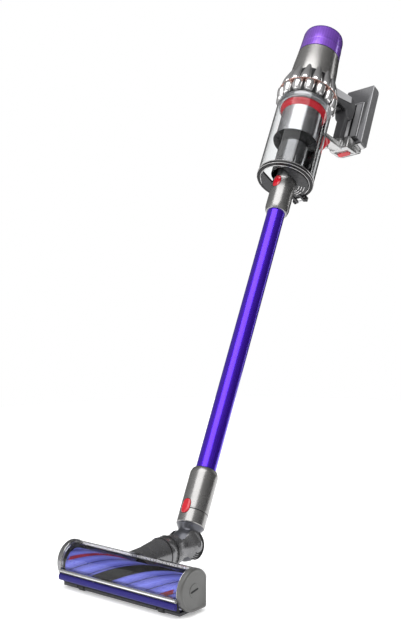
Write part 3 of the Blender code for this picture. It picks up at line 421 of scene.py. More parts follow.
def finish_mesh(name, bm, look, body, nodes=()):
    """Turn a bmesh into a smooth-shaded piece that rides on a body and may stand for CAD nodes.

    Its look is a Shade or the key of one in SHADES.
    """
    shade = SHADES.get(look, look)
    bmesh.ops.remove_doubles(bm, verts=bm.verts, dist=MERGE_DISTANCE)
    bmesh.ops.recalc_face_normals(bm, faces=bm.faces)
    mesh = mesh_from(name, bm)
    mesh.shade_smooth()
    mesh.set_sharp_from_angle(angle=SHARP_ANGLE)
    mesh.materials.append(shade.material)
    piece = add_object(name, mesh)
    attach(piece, body)
    if nodes:
        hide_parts(*nodes)
    return piece


def wear(names, look):
    """Smooth, seam-free copies of CAD nodes in their finish; each stands for its node."""
    for name in names:
        bm = bmesh.new()
        bm.from_mesh(NODES[name].data)
        bmesh.ops.remove_doubles(bm, verts=bm.verts, dist=CAD_MERGE_DISTANCE)
        bmesh.ops.dissolve_limit(bm, angle_limit=FLAT_ANGLE, verts=bm.verts, edges=bm.edges)
        finish_mesh("look_" + name, bm, look, NODES[name]["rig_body"], [name])


def lathe_into(bm, outline, segments, place, start=0.0, sweep=math.tau):
    """Turn a closed outline of (radius, station) pairs about the Z axis of a frame."""
    full = abs(sweep - math.tau) < 1e-6
    columns = segments if full else segments + 1
    grid = []
    for i in range(columns):
        angle = start + sweep * i / segments
        direction = Vector((math.cos(angle), math.sin(angle), 0.0))
        grid.append([bm.verts.new(place @ (direction * r + Vector((0.0, 0.0, z)))) for r, z in outline])
    for i in range(segments):
        left, right = grid[i], grid[(i + 1) % columns]
        for j in range(len(outline)):
            k = (j + 1) % len(outline)
            bm.faces.new((left[j], right[j], right[k], left[k]))
    if not full:
        bm.faces.new(grid[0])
        bm.faces.new(grid[-1])


def steps(radius, station, *offsets):
    """Outline points by their offsets, in millimetres, from one radius and one station."""
    return [(radius + 0.001 * out, station + 0.001 * rise) for out, rise in offsets]


def lathe(name, profile, look, body, nodes=(), segments=72, place=STICK):
    bm = bmesh.new()
    lathe_into(bm, profile, segments, place)
    return finish_mesh(name, bm, look, body, nodes)


def add_arcs(name, arcs, thickness, look, body, sweep=360.0, place=STICK, segments=72, sides=8):
    """Thin round lines about a frame's Z axis, by their (radius, station, start in degrees)."""
    bm = bmesh.new()
    for radius, station, start in arcs:
        outline = []
        for i in range(sides):
            turn = math.tau * i / sides
            outline.append((radius + thickness * math.cos(turn), station + thickness * math.sin(turn)))
        lathe_into(bm, outline, segments, place, math.radians(start), math.radians(sweep))
    finish_mesh(name, bm, look, body)


def ring(name, radius, station, thickness, look, body, place=STICK):
    add_arcs(name, [(radius, station, 0.0)], thickness, look, body, 360.0, place)


def subdivide_rows(profile, step):
    """Add rows to the long outer runs of a profile, so that shading stays even around cuts."""
    rows = []
    for (r0, z0), (r1, z1) in zip(profile, profile[1:] + profile[:1]):
        count = max(1, int(abs(z1 - z0) / step))
        rows += [(r0 + (r1 - r0) * i / count, z0 + (z1 - z0) * i / count) for i in range(count)]
    return rows


def loft(name, solids, look, body, nodes=()):
    """A piece of one or more solids, each a list of rings of points joined one to the next."""
    bm = bmesh.new()
    for rings in solids:
        loft_into(bm, rings)
    finish_mesh(name, bm, look, body, nodes)


def loft_into(bm, rings):
    """Join closed rings of points one to the next, and close both ends."""
    loops = [[bm.verts.new(point) for point in ring_points] for ring_points in rings]
    for lower, upper in zip(loops, loops[1:]):
        for i in range(len(lower)):
            j = (i + 1) % len(lower)
            bm.faces.new((lower[i], lower[j], upper[j], upper[i]))
    bm.faces.new(loops[0])
    bm.faces.new(loops[-1])


def oval(centre, half_width, half_height, count=40, power=2.6):
    """Superellipse outline round (0, centre)."""
    points = []
    for i in range(count):
        angle = math.tau * i / count
        c, s = math.cos(angle), math.sin(angle)
        x = half_width * math.copysign(abs(c) ** (2.0 / power), c)
        z = half_height * math.copysign(abs(s) ** (2.0 / power), s)
        points.append((x, centre + z))
    return points


# ------------ cyclones and motor

CYCLONE_COUNT = 14


def pod_rings(angle, rows, sides=18):
    """Rings of a rounded pod, by its rows of (centre radius, station, half width, depth)."""
    outward = Vector((math.cos(angle), math.sin(angle), 0.0))
    sideways = Vector((-math.sin(angle), math.cos(angle), 0.0))
    rings = []
    for radius, station, half_width, depth in rows:
        centre = outward * radius + Vector((0.0, 0.0, station))
        points = []
        for i in range(sides):
            turn = math.tau * i / sides
            point = centre + sideways * (half_width * math.cos(turn)) + outward * (depth * math.sin(turn))
            points.append(STICK @ point)
        rings.append(points)
    return rings


def add_cyclones():
    """Two staggered rows of pods, each round a dark core that is painted shade in the gaps between the
    pods, and the copper line between the rows.
    """
    low, high = stick_range("cyclone_drums")
    cone_low, cone_high = stick_range("cyclone_cones")
    outer = stick_radius("cyclone_drums")
    motor = stick_radius("motor_housing")
    bore = 0.0445
    span = high - low
    half = math.pi * outer / CYCLONE_COUNT
    drum = [(outer - 0.0150, low + 0.0005, 0.26 * half, 0.0050),
            (outer - 0.0120, low + 0.10 * span, 0.52 * half, 0.0075),
            (outer - 0.0100, low + 0.30 * span, 0.66 * half, 0.0090),
            (outer - 0.0095, low + 0.60 * span, 0.73 * half, 0.0095),
            (outer - 0.0095, low + 0.86 * span, 0.77 * half, 0.0095),
            (outer - 0.0105, low + 0.97 * span, 0.73 * half, 0.0088),
            (outer - 0.0120, high - 0.0002, 0.60 * half, 0.0070)]
    drum_gap_shade = [(outer - 0.0125, low), (outer - 0.0110, low + 0.3 * span), (outer - 0.0110, high),
                 (bore, high), (bore, low)]
    foot = outer - 0.0105
    reach = cone_high + 0.014 - cone_low
    cone = []
    for part, width, lean in ((0.0, 0.62, 0.0), (0.03, 0.75, 0.02), (0.10, 0.79, 0.05),
                              (0.25, 0.75, 0.16), (0.42, 0.66, 0.36), (0.60, 0.54, 0.62),
                              (0.76, 0.42, 0.83), (0.89, 0.28, 0.96), (0.97, 0.15, 1.02),
                              (1.0, 0.05, 1.05)):
        radius = foot + (motor - 0.0030 - foot) * lean
        cone.append((radius, cone_low + 0.0004 + reach * part, width * half, 0.0104 * width + 0.0006))
    cone_gap_shade = [(outer - 0.0125, cone_low), (outer - 0.0135, cone_low + 0.008),
                 (motor + 0.0012, cone_high - 0.010), (motor, cone_high), (0.0405, cone_high),
                 (bore, cone_low)]
    for name, shift, rows, core in (("cyclone_drum", 0.0, drum, drum_gap_shade),
                                    ("cyclone_cone", 0.5, cone, cone_gap_shade)):
        turns = [math.tau * (i + shift) / CYCLONE_COUNT for i in range(CYCLONE_COUNT)]
        loft(name + "_pods", [pod_rings(turn, rows) for turn in turns], "chrome", "main_body", [name + "s"])
        # The dark core: painted shade in the gaps between the pods.
        lathe(name + "_core", core, "joint_black_and_gap_shade", "main_body")
    line = steps(outer, high, (-2.5, 0.2), (-2.0, 0.8), (-2.5, 1.4))
    line += steps(0.0450, high, (0.0, 1.4), (0.0, 0.2))
    lathe("cyclone_line", line, "copper", "main_body", ["cyclone_seal"], 96)


def add_motor():
    low, high = stick_range("motor_housing")
    wide = stick_radius("motor_housing")
    top = 0.0428
    profile = steps(wide, low, (-1.0, 0.0), (0.0, 1.0), (-0.2, 10.0), (-0.8, 24.0), (-1.6, 40.0))
    profile += steps(top, high, (0.8, -12.0), (0.1, -1.2), (-0.8, 0.0), (-2.4, 0.0))
    profile += [(0.0430, low + 0.034), (0.0438, low)]
    lathe("motor_shell", profile, "motor", "main_body", ["motor_housing"])
    ring("motor_seam", top - 0.0003, high + 0.0001, 0.0004, "joint_black_and_gap_shade", "main_body")


def add_filter():
    """The filter cup with its dished top, five short lines and the edge of its top."""
    low, high = stick_range("filter_shell")
    wide = stick_radius("filter_shell")
    profile = steps(wide, low, (-0.6, 0.0), (0.0, 0.8), (-0.2, 6.0))
    profile += steps(wide, low, (-0.8, 17.5), (-1.3, 18.0), (-0.9, 18.5))
    profile += steps(wide, high, (-1.8, -5.5), (-2.4, -3.0), (-3.8, -1.0), (-6.0, 0.0))
    profile += steps(0.0, high, (33.5, 0.0), (32.2, -1.2), (30.0, -1.5), (0.2, -1.0))
    profile += steps(0.0, high, (0.2, -3.0), (38.8, -3.4))
    profile.append((0.0402, low))
    lathe("filter_cup", profile, "filter", "filter", ["filter_shell"])
    lines = [(wide - 0.0010 - 0.0004 * i, low + 0.024 + 0.0058 * i, -45.0) for i in range(5)]
    add_arcs("filter_lines", lines, 0.00035, "filter_dark", "filter", 95.0, STICK, 40)
    ring("filter_edge", wide - 0.0037, high - 0.0009, 0.0008, "filter_dark", "filter")


# ------------ wand, bin and collars

def apply_cut(piece, bm_tool):
    """Cut a closed tool out of a piece at once."""
    tool = add_object("tool", mesh_from("tool", bm_tool))
    modifier = piece.modifiers.new("cut", "BOOLEAN")
    modifier.operation = "DIFFERENCE"
    modifier.solver = "EXACT"
    modifier.object = tool
    bpy.context.view_layer.update()
    depsgraph = bpy.context.evaluated_depsgraph_get()
    result = bpy.data.meshes.new_from_object(piece.evaluated_get(depsgraph))
    piece.modifiers.clear()
    piece.data = result
    bpy.data.objects.remove(tool, do_unlink=True)
    result.shade_smooth()
    result.set_sharp_from_angle(angle=SHARP_ANGLE)


BUTTON_HALF_WIDTH = 0.0083
BUTTON_HALF_HEIGHT = 0.0123
BUTTON_GAP = 0.0008


def button_tool(station, inner_y):
    """A prism through the near side of a cuff, wider than the button all round."""
    bm = bmesh.new()
    outline = oval(station, BUTTON_HALF_WIDTH + BUTTON_GAP, BUTTON_HALF_HEIGHT + BUTTON_GAP)
    loft_into(bm, [[STICK @ Vector((x, y, z)) for x, z in outline] for y in (-0.05, inner_y)])
    bmesh.ops.recalc_face_normals(bm, faces=bm.faces)
    return bm


def add_button(name, node, station, cuff_radius, body):
    """A red oval that follows the round of its cuff, and a dark ring round its foot as painted shade in the
    gap about it.
    """
    domed = ((1.0, -0.0028), (1.0, 0.0002), (0.93, 0.0008), (0.80, 0.0011), (0.5, 0.0013), (0.1, 0.0013))
    # A dark ring below the cuff's surface: painted shade in the gap round the button.
    shade_ring = ((1.08, -0.0017), (1.08, -0.0006), (0.9, -0.0006))
    for piece, rows, look, nodes in ((name, domed, "red", [node]),
                                     (name + "_bezel", shade_ring, "joint_black_and_gap_shade", ())):
        rings = []
        for scale, lift in rows:
            outline = oval(station, BUTTON_HALF_WIDTH * scale, BUTTON_HALF_HEIGHT * scale)
            points = [Vector((x, -math.sqrt(cuff_radius ** 2 - x * x) - lift, z)) for x, z in outline]
            rings.append([STICK @ point for point in points])
        loft(piece, [rings], look, body, nodes)


def add_cuff(name, profile, body, node, station, inner_y):
    """A turned nickel cuff with the opening for its button."""
    cuff = lathe(name, subdivide_rows(profile, 0.004), "nickel", body, [node], 96)
    apply_cut(cuff, button_tool(station, inner_y))


def add_wand():
    tube_low, tube_high = stick_range("wand_tube")
    tube = stick_radius("wand_tube")
    wall = tube - 0.0015
    skin = [(tube, tube_low), (tube, tube_high), (wall, tube_high), (wall, tube_low)]
    lathe("wand_skin", skin, "anodised", "wand", ["wand_tube"], 96)
    add_lower_cuff(tube + 0.0003)
    add_upper_cuff(tube + 0.0003)


def add_lower_cuff(bore):
    """The wand's lower cuff, the head's collar below it, their seam and the red button."""
    seam, top = stick_range("wand_lower_cuff")
    outer = stick_radius("wand_lower_cuff")
    cone_top = stick_range("head_connector")[0]
    station = 0.5 * sum(stick_range("head_release_button"))
    profile = [(0.0190, seam)] + steps(outer, seam, (-0.6, 0.0), (-0.1, 0.6), (0.0, 1.5))
    profile += steps(outer, top, (0.0, -8.5), (-0.4, -7.0), (-1.8, -2.8), (-3.4, -0.6), (-4.5, 0.0))
    profile += [(bore, top), (bore, 0.1010), (0.0190, 0.1000)]
    add_cuff("lower_cuff", profile, "wand", "wand_lower_cuff", station, 0.0)
    profile = [(outer - 0.0008, cone_top), (outer, cone_top + 0.0012), (outer, seam - 0.0010),
               (outer - 0.0006, seam - 0.0004), (0.0184, seam - 0.0003), (0.0184, 0.0960),
               (0.0174, 0.0975), (0.0158, 0.0975), (0.0158, 0.0500), (0.0140, cone_top)]
    add_cuff("head_collar", profile, "stick_base", "head_connector", station, -0.0160)
    add_button("lower_button", "head_release_button", station, outer, "head_button")
    arc = (outer - 0.0002, seam - 0.0002, -60.0)
    add_arcs("cuff_seam", [arc], 0.0005, "joint_black_and_gap_shade", "stick_base", 300.0)
    lip = steps(bore, top, (0.1, -0.2), (1.7, -0.2), (1.3, 0.6), (0.1, 0.6))
    lathe("cuff_lip", lip, "joint_black_and_gap_shade", "wand")


def add_upper_cuff(bore):
    low, high = stick_range("wand_upper_cuff")
    outer = stick_radius("wand_upper_cuff")
    station = 0.5 * sum(stick_range("wand_release_button"))
    profile = [(bore, low), (0.0188, low), (0.0200, low + 0.0006), (0.0212, low + 0.0030)]
    profile += steps(outer, low, (-0.3, 8.5), (0.0, 10.0))
    profile += steps(outer, high, (0.0, -1.2), (-0.5, 0.0))
    profile += [(0.0190, high), (0.0190, 0.7035), (bore, 0.7030)]
    add_cuff("upper_cuff", profile, "wand", "wand_upper_cuff", station, 0.0)
    add_button("upper_button", "wand_release_button", station, outer, "wand_button")


def add_bin():
    """The clear wall, bright rim lines, ribs of the door and the wall, and the black spine."""
    low, high = stick_range("bin_wall")
    radius = stick_radius("bin_wall")
    inner = radius - 0.0020
    glass = [(radius, low), (radius, high - 0.0005), (radius - 0.0004, high), (inner + 0.0004, high),
             (inner, high - 0.0005), (inner, low)]
    lathe("bin_glass", glass, "clear", "bin", ["bin_wall"], 128)
    rim_high = low - 0.0003
    rim_low = max(stick_range("bin_rim")[0], rim_high - 0.0090)
    ring("rim_line_low", radius + 0.0004, rim_low + 0.0016, 0.0005, "chrome", "bin")
    ring("rim_line_high", radius + 0.0004, rim_high - 0.0012, 0.0006, "chrome", "bin")
    ring("rim_line_inner", 0.0478, rim_low + 0.0002, 0.0006, "chrome", "bin")
    door = 0.7405
    starts = (38.0, 66.0, 110.0, 138.0)
    ribs = [(arc, door, start) for start in starts for arc in (0.0290, 0.0340, 0.0390)]
    add_arcs("door_ribs", ribs, 0.0007, "chrome", "door", 22.0, STICK, 14, 6)
    rib = ((0.0468, 0.7555), (0.0515, 0.7555), (0.0515, 0.7720), (0.0505, 0.7720))
    solids = []
    for angle in (-38.0, -20.0, 0.0, 20.0, 180.0, 200.0, 218.0):
        centre = STICK @ Matrix.Rotation(math.radians(angle), 4, "Z")
        solids.append([[centre @ Vector((r, side, z)) for r, z in rib] for side in (-0.0006, 0.0006)])
    loft("bin_inner_ribs", solids, "clear", "bin")
    spine = [(0.0552, 0.7570), (0.0562, 0.7570), (0.0562, high + 0.0020), (0.0552, high + 0.0020)]
    bm = bmesh.new()
    lathe_into(bm, spine, 24, STICK, math.radians(66.0), math.radians(48.0))
    finish_mesh("bin_spine", bm, "black_gloss", "main_body")


def add_shroud():
    """The collar, the perforated shroud, its flared skirt, the tube below it and the red band."""
    ring_low, ring_high = stick_range("shroud_ring")
    shroud_low, shroud_high = stick_range("shroud")
    shroud = stick_radius("shroud")
    wall = shroud - 0.0016
    skirt_low, skirt_high = stick_range("shroud_skirt")
    skirt = stick_radius("shroud_skirt")
    tube_low, tube_high = stick_range("dust_collector")
    tube = stick_radius("dust_collector")
    bore = tube - 0.0018
    collar = steps(0.0, ring_high, (47.0, 0.3), (50.0, 1.0), (51.0, 2.2), (50.8, 4.8), (51.9, 5.6))
    collar += steps(0.0, ring_high, (52.0, 12.8), (39.0, 12.8), (39.0, 0.3))
    mesh = [(shroud, shroud_low), (shroud, shroud_high), (wall, shroud_high), (wall, shroud_low)]
    flare = steps(tube, skirt_low, (0.0, 0.0), (0.6, 3.0), (3.5, 6.0))
    flare.append((skirt - 0.0040, skirt_low + 0.0100))
    flare += steps(skirt, skirt_high, (-0.4, -2.0), (0.0, -0.8), (-0.6, 0.0))
    flare += [(bore, skirt_high), (bore, skirt_low)]
    collector = [(tube - 0.0008, tube_low), (tube, tube_low + 0.0010), (tube, tube_high),
                 (bore, tube_high), (bore, tube_low)]
    band = [(shroud + 0.0004, ring_low), (0.0452, ring_high - 0.0048), (0.0467, ring_high - 0.0030),
            (0.0468, ring_high), (shroud - 0.0014, ring_high), (shroud - 0.0014, ring_low)]
    for name, outline, look, node in (("collar_steps", collar, "collar", "bin_collar"),
                                     ("shroud_mesh", mesh, "perforated", "shroud"),
                                     ("skirt_flare", flare, "black_gloss", "shroud_skirt"),
                                     ("collector_tube", collector, "smoke", "dust_collector"),
                                     ("red_band", band, "red", "shroud_ring")):
        lathe(name, outline, look, "main_body", [node], 96)


# ------------ floor head

SHELL_Y = -0.023
SHELL_Z = 0.037
ALONG_X = Matrix(((0, 0, 1), (1, 0, 0), (0, 1, 0))).to_4x4()
SHELL_FRAME = Matrix.Translation((0.0, SHELL_Y, SHELL_Z)) @ ALONG_X
BRUSH_FRAME = Matrix.Translation(BRUSH_CENTRE) @ ALONG_X
BRUSH_TURNS = -0.60
BRUSH_REACH = 0.106
BRUSH_SKIN = 0.0252
BRUSH_TIP = 0.0268
BRISTLE_COLUMNS = 330
CAP_INNER = 0.1165
CAP_OUTER = 0.1250
WINDOW_HALF = 0.1160


def add_prism(name, outline, low, high, look, body, nodes=()):
    """Extrude (Y, Z) pairs along X."""
    loft(name, [[[Vector((x, y, z)) for y, z in outline] for x in (low, high)]], look, body, nodes)


def cap_outline(inset):
    """The head's end profile, from the rear top round the front to the rear foot."""
    radius = 0.032 - inset
    rear = 0.005 - inset
    foot = 0.005 + inset
    start = math.acos((rear - SHELL_Y) / radius)
    points = []
    for i in range(49):
        angle = start + (math.radians(262.0) - start) * i / 48
        points.append((SHELL_Y + radius * math.cos(angle), SHELL_Z + radius * math.sin(angle)))
    points += [(SHELL_Y, foot), (rear - 0.003, foot), (rear - 0.0008, foot + 0.0009), (rear, foot + 0.003)]
    return points


def add_end_cap(name, node, side, look):
    """An end cap with a rounded outer edge: rows of (depth below its face, inset)."""
    rows = ((CAP_OUTER - CAP_INNER, 0.0), (0.0022, 0.0), (0.0012, 0.0003), (0.0004, 0.0010),
            (0.0, 0.0021), (0.0, 0.0040), (0.0004, 0.0046))
    rings = []
    for depth, inset in rows:
        rings.append([Vector((side * (CAP_OUTER - depth), y, z)) for y, z in cap_outline(inset)])
    loft(name, [rings], look, "head", [node])


def helix_point(x, angle_deg, radius):
    """A point of the brush bar on a line that winds round it with the strips."""
    lag = math.tau * BRUSH_TURNS * (x + BRUSH_REACH) / (2.0 * BRUSH_REACH)
    angle = math.radians(angle_deg) + lag
    return Vector((x, BRUSH_CENTRE.y + radius * math.cos(angle), BRUSH_CENTRE.z + radius * math.sin(angle)))


def add_bristles(name, node, start_deg, width_deg, rows, look, seed):
    """A dense field of short bristles on a wound backing strip."""
    rng = random.Random(seed)
    stations = 72
    backing = []
    for i in range(stations + 1):
        x = -BRUSH_REACH + 2.0 * BRUSH_REACH * i / stations
        angles = [start_deg + width_deg * k / 6 for k in range(7)]
        outer = [helix_point(x, angle, BRUSH_SKIN + 0.0004) for angle in angles]
        inner = [helix_point(x, angle, BRUSH_SKIN - 0.0012) for angle in reversed(angles)]
        backing.append(outer + inner)
    loft(name + "_backing", [backing], look, "brush")
    bm = bmesh.new()
    for i in range(BRISTLE_COLUMNS):
        for k in range(rows):
            x = -BRUSH_REACH + 2.0 * BRUSH_REACH * (i + rng.uniform(0.1, 0.9)) / BRISTLE_COLUMNS
            angle = start_deg + width_deg * (k + rng.uniform(0.1, 0.9)) / rows
            tip = helix_point(x + rng.uniform(-0.0004, 0.0004), angle + rng.uniform(-0.9, 0.9),
                              BRUSH_TIP + rng.uniform(-0.0005, 0.0001))
            foot = [helix_point(x + dx, angle + da, BRUSH_SKIN + 0.0002)
                    for dx, da in ((-0.00022, -0.4), (0.00022, -0.4), (0.0, 0.6))]
            corners = [bm.verts.new(point) for point in foot]
            bm.faces.new(corners)
            top = bm.verts.new(tip)
            for a in range(3):
                bm.faces.new((corners[a], corners[(a + 1) % 3], top))
    finish_mesh(name, bm, look, "brush", [node])


def add_brush():
    """The bar's skin, hollow for its motor and journals, with its three wound strips."""
    half = 0.112
    profile = [(BRUSH_SKIN - 0.0012, -half), (BRUSH_SKIN, -half + 0.0012), (BRUSH_SKIN, half - 0.0012),
               (BRUSH_SKIN - 0.0012, half), (0.0090, half), (0.0085, 0.0), (0.0046, 0.0),
               (0.0046, -0.020), (0.0192, -0.020), (0.0192, -half)]
    lathe("brush_skin", profile, "bands", "brush", ["brush_core"], 96, BRUSH_FRAME)
    add_bristles("carbon_field", "carbon_bristles", 236.0, 42.0, 22, "carbon", 3)
    add_bristles("crimson_field_one", "red_bristles_first", 139.0, 14.0, 8, "crimson", 5)
    add_bristles("crimson_field_two", "red_bristles_second", 14.0, 14.0, 8, "crimson", 7)


def add_caps():
    """Both end caps, the journal in the right one and the slotted lock on its face, its slot a dark oval as
    painted shade.
    """
    add_end_cap("left_cap", "end_cap_left", -1, "cap_left")
    add_end_cap("right_cap", "end_cap_right", 1, "cap_right")
    journal = [(0.0002, CAP_INNER), (0.0002, 0.0960), (0.0072, 0.0960), (0.0075, 0.0970),
               (0.0075, 0.1110), (0.0118, 0.1126), (0.0118, CAP_INNER)]
    lathe("brush_journal", journal, "cap_right", "head", (), 32, BRUSH_FRAME)
    face = 0.1246
    lock_frame = Matrix.Translation((0.0, BRUSH_CENTRE.y, SHELL_Z)) @ ALONG_X
    disc = steps(0.0, face, (0.2, -1.2), (10.6, -1.2), (10.6, 0.3), (10.2, 0.6), (0.2, 0.6))
    lathe("lock_disc", disc, "cap_right", "lock", ["brush_lock"], 48, lock_frame)
    slant = Matrix.Rotation(math.radians(10.0), 2)
    centre = Vector((BRUSH_CENTRE.y, SHELL_Z))
    slot = [centre + slant @ Vector(point) for point in oval(0.0, 0.0088, 0.0015, 28, 4.0)]
    # A thin dark oval on the lock's face: painted shade in its slot.
    add_prism("lock_slot_shade", slot, face + 0.0004, face + 0.0009, "joint_black_and_gap_shade", "lock")


def add_window_lines():
    """Bright lines at both ends of the window, and the rings inside the left cap."""
    ends = [(0.0312, x, 42.0) for x in (-WINDOW_HALF, WINDOW_HALF)]
    add_arcs("window_end_lines", ends, 0.0006, "chrome", "head", 146.0, SHELL_FRAME, 48)
    rings = [(radius, -0.1162, 35.0) for radius in (0.0262, 0.0276, 0.0289)]
    add_arcs("cap_inner_rings", rings, 0.0004, "chrome", "head", 160.0, SHELL_FRAME, 40, 6)


def add_rail():
    """The bright front rail with its dark web and groove, and the soft strip below it."""
    lip = steps(0.0, 0.0, (-54.5, 30.4), (-56.0, 30.4), (-58.0, 29.6), (-59.0, 28.5), (-59.4, 27.2),
                (-59.0, 26.4), (-58.4, 26.0), (-58.6, 25.4), (-58.0, 24.6), (-53.0, 23.8),
                (-52.0, 24.0), (-52.8, 29.0))
    web = steps(0.0, 0.0, (-52.8, 23.6), (-50.5, 20.0), (-49.0, 13.0), (-48.2, 8.0), (-47.6, 8.0),
                (-48.0, 12.0), (-50.0, 19.0), (-52.0, 23.6))
    groove = steps(0.0, 0.0, (-59.7, 26.2), (-58.8, 26.2), (-58.8, 25.8), (-59.7, 25.8))
    strip = []
    for i in range(13):
        angle = math.radians(80.0 + 185.0 * i / 12)
        strip.append((-0.0566 + 0.0032 * math.cos(angle), 0.0187 + 0.0052 * math.sin(angle)))
    strip += [(-0.0545, 0.0138), (-0.0532, 0.0160), (-0.0545, 0.0236)]
    for name, outline, look, nodes in (("silver_rail", lip, "rail", ["front_lip"]),
                                      ("rail_web", web, "joint_black_and_gap_shade", ()),
                                      ("rail_groove", groove, "joint_black_and_gap_shade", ()),
                                      ("soft_bumper", strip, "bumper", ["bumper_strip"])):
        add_prism(name, outline, -WINDOW_HALF, WINDOW_HALF, look, "head", nodes)


def add_comb():
    """A row of pale four-sided teeth under the window's rear edge."""
    rng = random.Random(11)
    count = 84
    half = 0.108
    root = math.radians(66.0)
    corners = ((1, 0), (0, 1), (-1, 0), (0, -1))
    teeth = []
    for i in range(count):
        lean = rng.uniform(-0.0005, 0.0005)
        x = -half + 2.0 * half * i / (count - 1) + lean
        rings = []
        for radius, width in ((0.0299, 0.0011), (0.0264 + rng.uniform(0.0, 0.0006), 0.0008)):
            centre = Vector((x, SHELL_Y + radius * math.cos(root), SHELL_Z + radius * math.sin(root)))
            rings.append([centre + Vector((width * a, 0.0, width * b)) for a, b in corners])
        teeth.append(rings)
    loft("window_comb", teeth, "comb", "head")


def add_neck():
    """Ribs round the back of the knuckle, and the seam and groove of the sleeve."""
    knuckle_radius = 0.0300
    pin_frame = NECK @ ALONG_X
    back = pin_frame.inverted().to_3x3() @ HANDLE_AXIS
    start = math.degrees(math.atan2(back.y, back.x)) - 85.0
    ribs = []
    for radius in (0.0135, 0.0165, 0.0195, 0.0225):
        station = math.sqrt(knuckle_radius ** 2 - radius ** 2)
        ribs += [(radius, -station, start), (radius, station, start)]
    add_arcs("knuckle_ribs", ribs, 0.0008, "joint_black_and_gap_shade", "neck", 170.0, pin_frame, 48)
    place = frame_matrix(PIN_AXIS, PIN_AXIS.cross(ROLL_AXIS).normalized(), -ROLL_AXIS, KNUCKLE)
    seam = -(NECK.inverted() @ Vector((0.0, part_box("neck_fork")[0].y, 0.0))).y
    ring("neck_seam", 0.0251, seam - 0.0005, 0.0007, "joint_black_and_gap_shade", "neck", place)
    ring("neck_groove", 0.0254, seam - 0.0160, 0.0006, "joint_black_and_gap_shade", "neck", place)


def add_blocks(name, corners, look, body):
    """Slim bars and plates, each between two corners in the stick frame."""
    solids = []
    for (x, y, z), (far_x, far_y, far_z) in corners:
        outline = ((x, y), (far_x, y), (far_x, far_y), (x, far_y))
        solids.append([[STICK @ Vector((a, b, height)) for a, b in outline] for height in (z, far_z)])
    loft(name, solids, look, body)


def add_handle():
    """The battery's face plate, its pale stripe, chamfer and edge lines as painted highlights, its dark
    channels as painted shade, and the grip's ribs.
    """
    side = stick_range("battery_case", 0)[1]
    ridge = stick_range("battery_case", 1)[0]
    foot, top = stick_range("battery_case")
    face = ridge + 0.0125
    stripe = [((-0.0032, ridge - 0.0005, foot + 0.014), (0.0036, ridge + 0.0002, foot + 0.098))]
    plate = [((-0.0225, ridge + 0.0005, foot + 0.011), (0.0225, ridge + 0.0010, foot + 0.101))]
    channels = []
    edges = []
    ribs = []
    for sign in (-1.0, 1.0):
        channels.append(((sign * 0.0048, ridge + 0.0002, foot + 0.012),
                         (sign * 0.0092, ridge + 0.0007, foot + 0.100)))
        edges.append(((sign * (side - 0.0012), face - 0.0006, foot + 0.002),
                      (sign * (side + 0.0003), face + 0.0006, top - 0.002)))
        edges.append(((sign * 0.0246, ridge + 0.0012, foot + 0.010),
                      (sign * 0.0258, ridge + 0.0024, foot + 0.103)))
        for i in range(9):
            y = 0.0560 + 0.0052 * i
            ribs.append(((sign * 0.0120, y, 1.0015), (sign * 0.0164, y + 0.0016, 1.0095)))
    # Painted highlight: a pale stripe down the battery's ridge.
    add_blocks("battery_stripe_highlight", stripe, "pale", "battery")
    add_blocks("battery_face", plate, "face", "battery")
    # Painted shade: two dark strips for the shade in the channels beside the stripe.
    add_blocks("battery_channel_shade", channels, "joint_black_and_gap_shade", "battery")
    # Painted highlight: the ridge's top chamfer in pale grey.
    chamfer = steps(ridge, foot, (1.8, 104.6), (10.8, 112.0), (10.4, 112.6), (1.3, 105.2))
    rings = [[STICK @ Vector((x, y, z)) for y, z in chamfer] for x in (-0.0215, 0.0215)]
    loft("battery_chamfer_highlight", [rings], "pale", "battery")
    # Painted highlights: pale lines along the battery's edges.
    add_blocks("battery_edge_highlights", edges, "pale", "battery")
    add_blocks("grip_ribs", ribs, "joint_black_and_gap_shade", "main_body")


